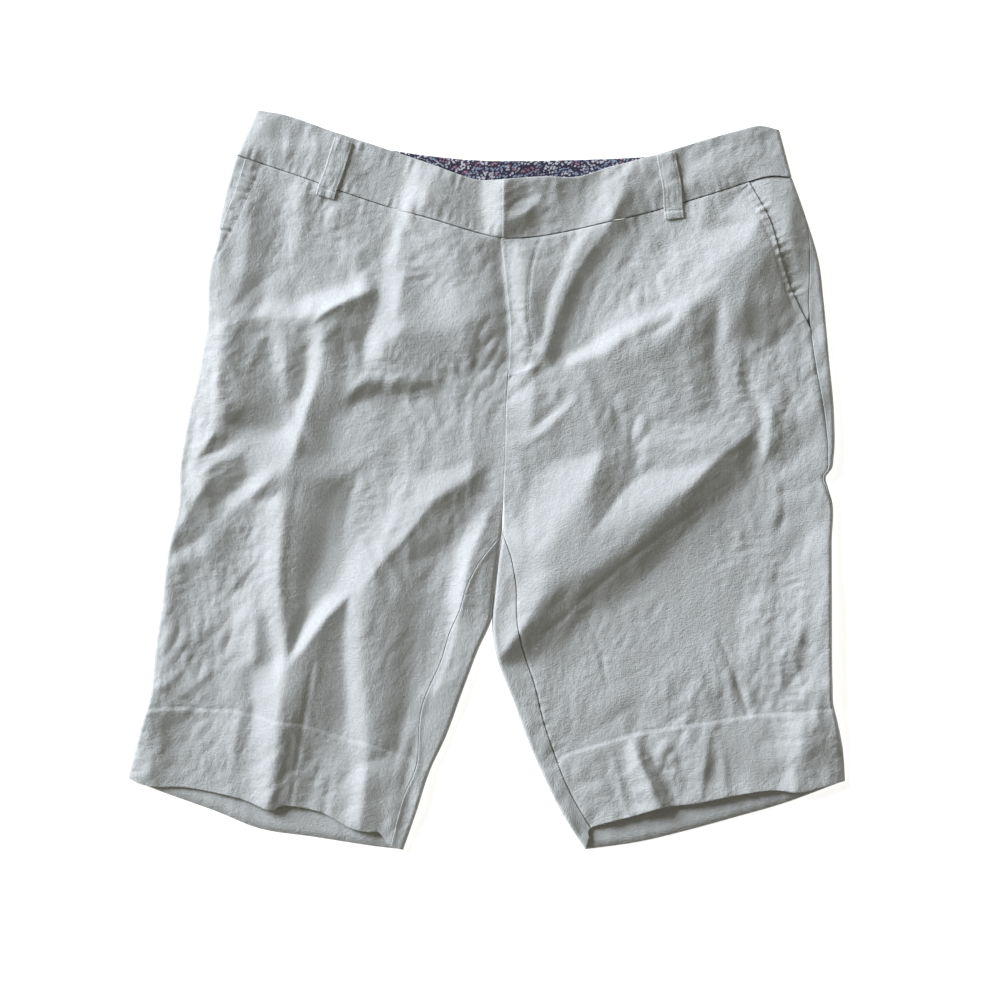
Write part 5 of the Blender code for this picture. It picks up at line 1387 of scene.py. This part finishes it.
def stitches(starts, ends, thickness):
    """One stretched bead for each stitch: rings of points round its length, from pole to pole.

    A point is the stitch's middle, plus half its length times cos p along it, plus half its thickness
    times a power of sin p round it, for p from pole to pole.  Returns points and faces.
    """
    starts, ends = np.asarray(starts), np.asarray(ends)
    middle, along = (starts + ends) / 2, (ends - starts) / 2
    unit = along / (np.linalg.norm(along, axis=1, keepdims=True) + 1e-9)
    side = np.cross(unit, [0.0, 0.0, 1.0])
    side /= np.linalg.norm(side, axis=1, keepdims=True) + 1e-9
    rise = np.cross(side, unit)
    p = np.linspace(0, math.pi, STITCH_RINGS + 2)[1:-1]
    q = np.linspace(0, 2 * math.pi, STITCH_SIDES + 1)[:-1]
    ring = (side[:, None, None] * np.cos(q)[None, None, :, None]
            + rise[:, None, None] * np.sin(q)[None, None, :, None])
    body = (middle[:, None, None] + along[:, None, None] * np.cos(p)[None, :, None, None]
            + ring * (thickness / 2) * (np.sin(p) ** STITCH_BLUNTNESS)[None, :, None, None])
    points = np.concatenate([body.reshape(len(starts), -1, 3), ends[:, None], starts[:, None]], axis=1)
    body_points = STITCH_RINGS * STITCH_SIDES
    index = np.arange(body_points).reshape(STITCH_RINGS, STITCH_SIDES)
    after = np.roll(index, -1, axis=1)
    quads = np.stack([index[:-1], index[1:], after[1:], after[:-1]], -1).reshape(-1, 4)
    head, tail = body_points, body_points + 1
    caps = [(head, int(i), int(j)) for i, j in zip(index[0], after[0])]
    caps += [(tail, int(j), int(i)) for i, j in zip(index[-1], after[-1])]
    shape = [tuple(int(i) for i in quad) for quad in quads] + caps
    count = body_points + 2
    faces = [tuple(i + count * k for i in face) for k in range(len(starts)) for face in shape]
    return points.reshape(-1, 3), faces


def on_cloth(x, y):
    """Points where thread lies: half sunk in the face of the top layer."""
    return np.stack([x, y, top_height(x, y) + HALF + THREAD_LIFT], axis=-1)


def stitch_row(line, first, last):
    """A line's columns at the starts and at the ends of its stitches, clear of its own two ends."""
    lengths = arc_lengths(line)
    begin = np.arange(first, lengths[-1] - STITCH_LENGTH - last, STITCH_LENGTH + STITCH_GAP)
    return [[np.interp(s, lengths, column) for column in line.T] for s in (begin, begin + STITCH_LENGTH)]


def along_path(path):
    """Starts and ends of the stitches along an (x, y) path on the cloth."""
    return [on_cloth(*columns) for columns in stitch_row(smooth_path(path, 12), 0.6, 0)]


def bar_tack(start, end, wide=2.2, count=14):
    """Close cross stitches along a short line on the cloth from start to end (x, y)."""
    start, end = np.array(start, float), np.array(end, float)
    way = (end - start) / np.linalg.norm(end - start)
    side = np.array([-way[1], way[0]]) * wide / 2
    middle = start + (end - start) * np.linspace(0, 1, count)[:, None]
    return [on_cloth(*place.T) for place in (middle - side, middle + side + way * 0.3)]


def along_loop(path):
    """Two rows of stitches on a belt loop, one beside each of its edges."""
    points, uv = loop_surface(path, top_height)
    inset = LOOP_WIDTH / 2 - LOOP_STITCH_INSET
    columns = [int(np.argmin(np.abs(uv[0, :, 0] - offset))) for offset in (inset, -inset)]
    return [[np.stack(place, -1) + np.array([0, 0, HALF + THREAD_LIFT])
             for place in stitch_row(points[:, column], 1, 1)] for column in columns]


def sew(name, runs, thread, thickness=THREAD):
    """Joins the stitches of several runs into one piece."""
    starts, ends = (np.concatenate([run[k] for run in runs]) for k in (0, 1))
    points, faces = stitches(starts, ends, thickness)
    piece = make_mesh(name, points, faces, thread)
    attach(piece, "root")


def sewing(thread):
    """The stitching that shows: hems, pocket mouths, fly and belt loops, with their bar tacks."""
    sew("hem_stitching", [along_path(RIGHT_HEM_STITCH), along_path(LEFT_HEM_STITCH)], thread)
    pockets = [along_path(RIGHT_POCKET_STITCH), along_path(LEFT_POCKET_STITCH)]
    sew("pocket_stitching", pockets + [bar_tack(*ends) for ends in POCKET_TACKS], thread)
    sew("fly_stitching", [along_path(FLY_STITCH), bar_tack(*FLY_TACK)], thread)
    loops = [run for path in FRONT_LOOPS.values() for run in along_loop(path)]
    sew("loop_stitching", loops, thread, THREAD * 0.9)


# ---- finishes ----
class Socket:
    """A node's output that takes arithmetic: each operator adds a Math node."""

    def __init__(self, finish, link):
        self.finish, self.link = finish, link

    def math(self, operation, *values):
        return self.finish.node("ShaderNodeMath", {"operation": operation}, *values)["Value"]

    def __add__(self, other):
        return self.math("ADD", self, other)

    def __sub__(self, other):
        return self.math("SUBTRACT", self, other)

    def __rsub__(self, other):
        return self.math("SUBTRACT", other, self)

    def __mul__(self, other):
        return self.math("MULTIPLY", self, other)

    def __pow__(self, other):
        return self.math("POWER", self, other)

    __radd__ = __add__
    __rmul__ = __mul__


class Finish:
    """One material: makes its nodes and links them."""

    def __init__(self, name, colour, roughness):
        self.material = bpy.data.materials.new(name)
        self.material.use_nodes = True
        self.tree = self.material.node_tree
        self.surface = self.tree.nodes["Principled BSDF"]
        self.surface.inputs["Base Color"].default_value = (*colour, 1)
        self.surface.inputs["Roughness"].default_value = roughness

    def put(self, socket, value):
        if isinstance(value, Socket):
            self.tree.links.new(value.link, socket)
        else:
            socket.default_value = value

    def node(self, kind, settings, *values, **named):
        """Adds a node: its settings first, then its sockets by place or by name; returns its outputs."""
        made = self.tree.nodes.new(kind)
        for key, value in settings.items():
            setattr(made, key, value)
        for place, value in enumerate(values):
            self.put(made.inputs[place], value)
        for key, value in named.items():
            self.put(made.inputs[key.replace("_", " ")], value)
        return {output.name: Socket(self, output) for output in made.outputs}

    def map_point(self, stretch):
        """The piece's cloth map, with its two ways stretched: u across the leg, v down it."""
        flat = self.node("ShaderNodeUVMap", {"uv_map": "cloth"})["UV"]
        return self.node("ShaderNodeMapping", {"vector_type": "POINT"}, Vector=flat,
                         Scale=(*stretch, 1.0))["Vector"]

    def noise(self, stretch, detail=2.0, roughness=0.5):
        """Soft noise about 0.5 on the cloth map."""
        return self.node("ShaderNodeTexNoise", {"noise_dimensions": "2D"}, Vector=self.map_point(stretch),
                         Scale=1.0, Detail=detail, Roughness=roughness)["Fac"]

    def between(self, factor, low, high):
        """A colour between low and high."""
        made = self.tree.nodes.new("ShaderNodeMix")
        made.data_type = "RGBA"
        for place, value in (("Factor_Float", factor), ("A_Color", low), ("B_Color", high)):
            socket = next(s for s in made.inputs if s.identifier == place)
            self.put(socket, value if isinstance(value, Socket) or place == "Factor_Float" else (*value, 1))
        return Socket(self, next(s for s in made.outputs if s.identifier == "Result_Color"))

    def bump(self, height, distance):
        normal = self.node("ShaderNodeBump", {}, Height=height, Distance=distance, Strength=1.0)["Normal"]
        self.put(self.surface.inputs["Normal"], normal)


LINEN_LIGHT = (0.705, 0.715, 0.70)
LINEN_DARK = (0.59, 0.60, 0.58)
THREADS_PER_M = 1450.0
# Noises of the linen, in cycles per metre across and down its cloth map.
DOWN_STREAKS = (950.0, 260.0)
CROSS_STREAKS = (240.0, 950.0)
SLUBS = (420.0, 420.0)
BLOTCHES = (40.0, 40.0)
NAP = (900.0, 900.0)
LINEN_RELIEF = 0.00022  # m
# Print: cells with a sprig each, the petals of the sprigs, the ground's shade and the cotton's grain.
SPRIGS = (240.0, 240.0)
PETALS = (430.0, 500.0)
GROUND_SHADES = (90.0, 90.0)
COTTON_GRAIN = (1400.0, 1400.0)
SPRIG_REACH, PETAL_REACH = 0.58, 0.40
FINE_RELIEF = 0.0001  # m, of the cotton and of the thread
GROUND_DARK, GROUND_LIGHT = (0.018, 0.015, 0.032), (0.060, 0.045, 0.085)
PINK, BLUE, WHITE = (0.36, 0.20, 0.29), (0.28, 0.34, 0.45), (0.60, 0.60, 0.66)
THREAD_DARK, THREAD_LIGHT = (0.60, 0.61, 0.59), (0.76, 0.77, 0.75)
THREAD_TWIST = 1600.0  # cycles per metre


def linen_finish():
    """Plain linen weave: crossing threads of uneven thickness, slubs both ways, matt with a soft nap.

    Its tone and its relief are sums of the noises about their middle; the relief also has the weave, a
    sine across times a sine down.
    """
    finish = Finish("linen cloth", LINEN_LIGHT, 0.92)
    finish.surface.inputs["Specular IOR Level"].default_value = 0.15
    finish.surface.inputs["Sheen Weight"].default_value = 0.12
    finish.surface.inputs["Sheen Roughness"].default_value = 0.5
    down_streaks = finish.noise(DOWN_STREAKS, 2.0)
    cross_streaks = finish.noise(CROSS_STREAKS, 2.0)
    slubs = finish.noise(SLUBS, 1.0)
    blotches = finish.noise(BLOTCHES, 3.0)
    tone = ((down_streaks - 0.5) * 0.9 + (cross_streaks - 0.5) * 0.9 + (slubs - 0.5) * 0.7
            + (blotches - 0.5) * 0.5 + 0.5)
    finish.put(finish.surface.inputs["Base Color"], finish.between(tone, LINEN_DARK, LINEN_LIGHT))
    turns = finish.map_point((THREADS_PER_M * math.pi, THREADS_PER_M * math.pi))
    across = finish.node("ShaderNodeSeparateXYZ", {}, Vector=turns)
    weave = across["X"].math("SINE", across["X"]) * across["Y"].math("SINE", across["Y"])
    nap = finish.noise(NAP, 2.0)
    height = weave * 0.2 + down_streaks * 0.75 + cross_streaks * 1.35 + slubs * 1.0 + nap * 0.8
    finish.bump(height, LINEN_RELIEF)
    return finish.material


def print_finish():
    """Facing cotton: a dark ground strewn with small light sprigs, blue, pink and white.

    A sprig is the petals, spots about the middles of small cells, that lie near the middle of a large
    cell, whose own colour picks its hue.
    """
    finish = Finish("printed facing", (0.05, 0.05, 0.10), 0.8)
    nearest = {"voronoi_dimensions": "2D", "feature": "F1"}
    cell = finish.node("ShaderNodeTexVoronoi", nearest, Vector=finish.map_point(SPRIGS), Scale=1.0,
                       Randomness=0.9)
    petals = finish.node("ShaderNodeTexVoronoi", nearest, Vector=finish.map_point(PETALS), Scale=1.0,
                         Randomness=1.0)
    pick = finish.node("ShaderNodeSeparateColor", {}, Color=cell["Color"])
    hue = finish.between(pick["Red"].math("GREATER_THAN", pick["Red"], 0.32), PINK, BLUE)
    hue = finish.between(pick["Green"].math("GREATER_THAN", pick["Green"], 0.50), hue, WHITE)
    sprig = petals["Distance"].math("LESS_THAN", petals["Distance"], PETAL_REACH)
    inside = cell["Distance"].math("LESS_THAN", cell["Distance"], SPRIG_REACH)
    ground = finish.between(finish.noise(GROUND_SHADES), GROUND_DARK, GROUND_LIGHT)
    finish.put(finish.surface.inputs["Base Color"], finish.between(sprig * inside, ground, hue))
    finish.bump(finish.noise(COTTON_GRAIN), FINE_RELIEF)
    return finish.material


def thread_finish():
    """Sewing thread: a fine noise for its twist, in tone and in relief."""
    finish = Finish("sewing thread", (0.68, 0.69, 0.67), 0.7)
    place = finish.node("ShaderNodeTexCoord", {})["Object"]
    twist = finish.node("ShaderNodeTexNoise", {"noise_dimensions": "3D"}, Scale=THREAD_TWIST, Detail=1.0,
                        Vector=place)["Fac"]
    finish.put(finish.surface.inputs["Base Color"], finish.between(twist, THREAD_DARK, THREAD_LIGHT))
    finish.bump(twist, FINE_RELIEF)
    return finish.material


# ---- stage ----
VIEW_CENTRE = (10.8, -16.0)  # mm in the frame, middle of the picture
VIEW_WIDTH = 800.0  # mm
CAMERA_HEIGHT = 2.4  # m over the middle of the cloth's thickness
SENSOR = 36.0
WINDOW_FROM = (-0.771, 0.515, 0.375)
WINDOW_DISTANCE = 6.0  # m
WINDOW_SIZE = 2.6
WINDOW_POWER = 560.0
WINDOW_COLOUR = (0.92, 0.98, 1.085)
ROOM_COLOUR = (1.0, 0.95, 0.80, 1)
ROOM_STRENGTH = 0.155
FLOOR_HALF = 4.0  # m
FLOOR_LEVEL = -0.0001
FLOOR_GLOW = 0.8


def aim(item, towards):
    """Turns an object so that its -Z axis points along a direction."""
    item.rotation_euler = Vector(towards).to_track_quat("-Z", "Y").to_euler()


def stage():
    """Camera straight above, one large soft light from the waist and the right side, and a pale floor."""
    scene = bpy.context.scene
    scene.view_settings.view_transform = "Standard"
    camera = bpy.data.cameras.new("camera")
    camera.sensor_width = SENSOR
    camera.lens = SENSOR * CAMERA_HEIGHT / (VIEW_WIDTH * MM)
    eye = bpy.data.objects.new("camera", camera)
    eye.location = (VIEW_CENTRE[0] * MM, VIEW_CENTRE[1] * MM, CAMERA_HEIGHT + 0.005)
    scene.collection.objects.link(eye)
    scene.camera = eye

    key = bpy.data.lights.new("window", "AREA")
    key.shape = "SQUARE"
    key.size = WINDOW_SIZE
    key.energy = WINDOW_POWER
    key.color = WINDOW_COLOUR
    lamp = bpy.data.objects.new("window", key)
    lamp.location = [part * WINDOW_DISTANCE for part in WINDOW_FROM]
    aim(lamp, [-part for part in WINDOW_FROM])
    scene.collection.objects.link(lamp)

    world = bpy.data.worlds.new("room")
    world.use_nodes = True
    background = world.node_tree.nodes["Background"]
    background.inputs["Color"].default_value = ROOM_COLOUR
    background.inputs["Strength"].default_value = ROOM_STRENGTH
    scene.world = world

    mesh = bpy.data.meshes.new("floor")
    signs = ((-1, -1), (1, -1), (1, 1), (-1, 1))
    corners = [(x * FLOOR_HALF, y * FLOOR_HALF, FLOOR_LEVEL) for x, y in signs]
    mesh.from_pydata(corners, [], [(0, 1, 2, 3)])
    floor = bpy.data.objects.new("floor", mesh)
    paper = Finish("pale paper", (0.93, 0.92, 0.90), 0.95)
    paper.surface.inputs["Emission Color"].default_value = (1, 1, 1, 1)
    paper.surface.inputs["Emission Strength"].default_value = FLOOR_GLOW
    mesh.materials.append(paper.material)
    scene.collection.objects.link(floor)


# ---- the whole garment ----
def main():
    linen, print_cloth, thread = linen_finish(), print_finish(), thread_finish()
    belt_loops(linen)
    waistband(linen, print_cloth)
    for side in ("left", "right"):
        tube = leg_tube(side)
        back_panel(side, tube, linen)
        pocket_bearer(side, tube, linen)
        front_panel(side, tube, linen)
    sewing(thread)
    stage()


main()
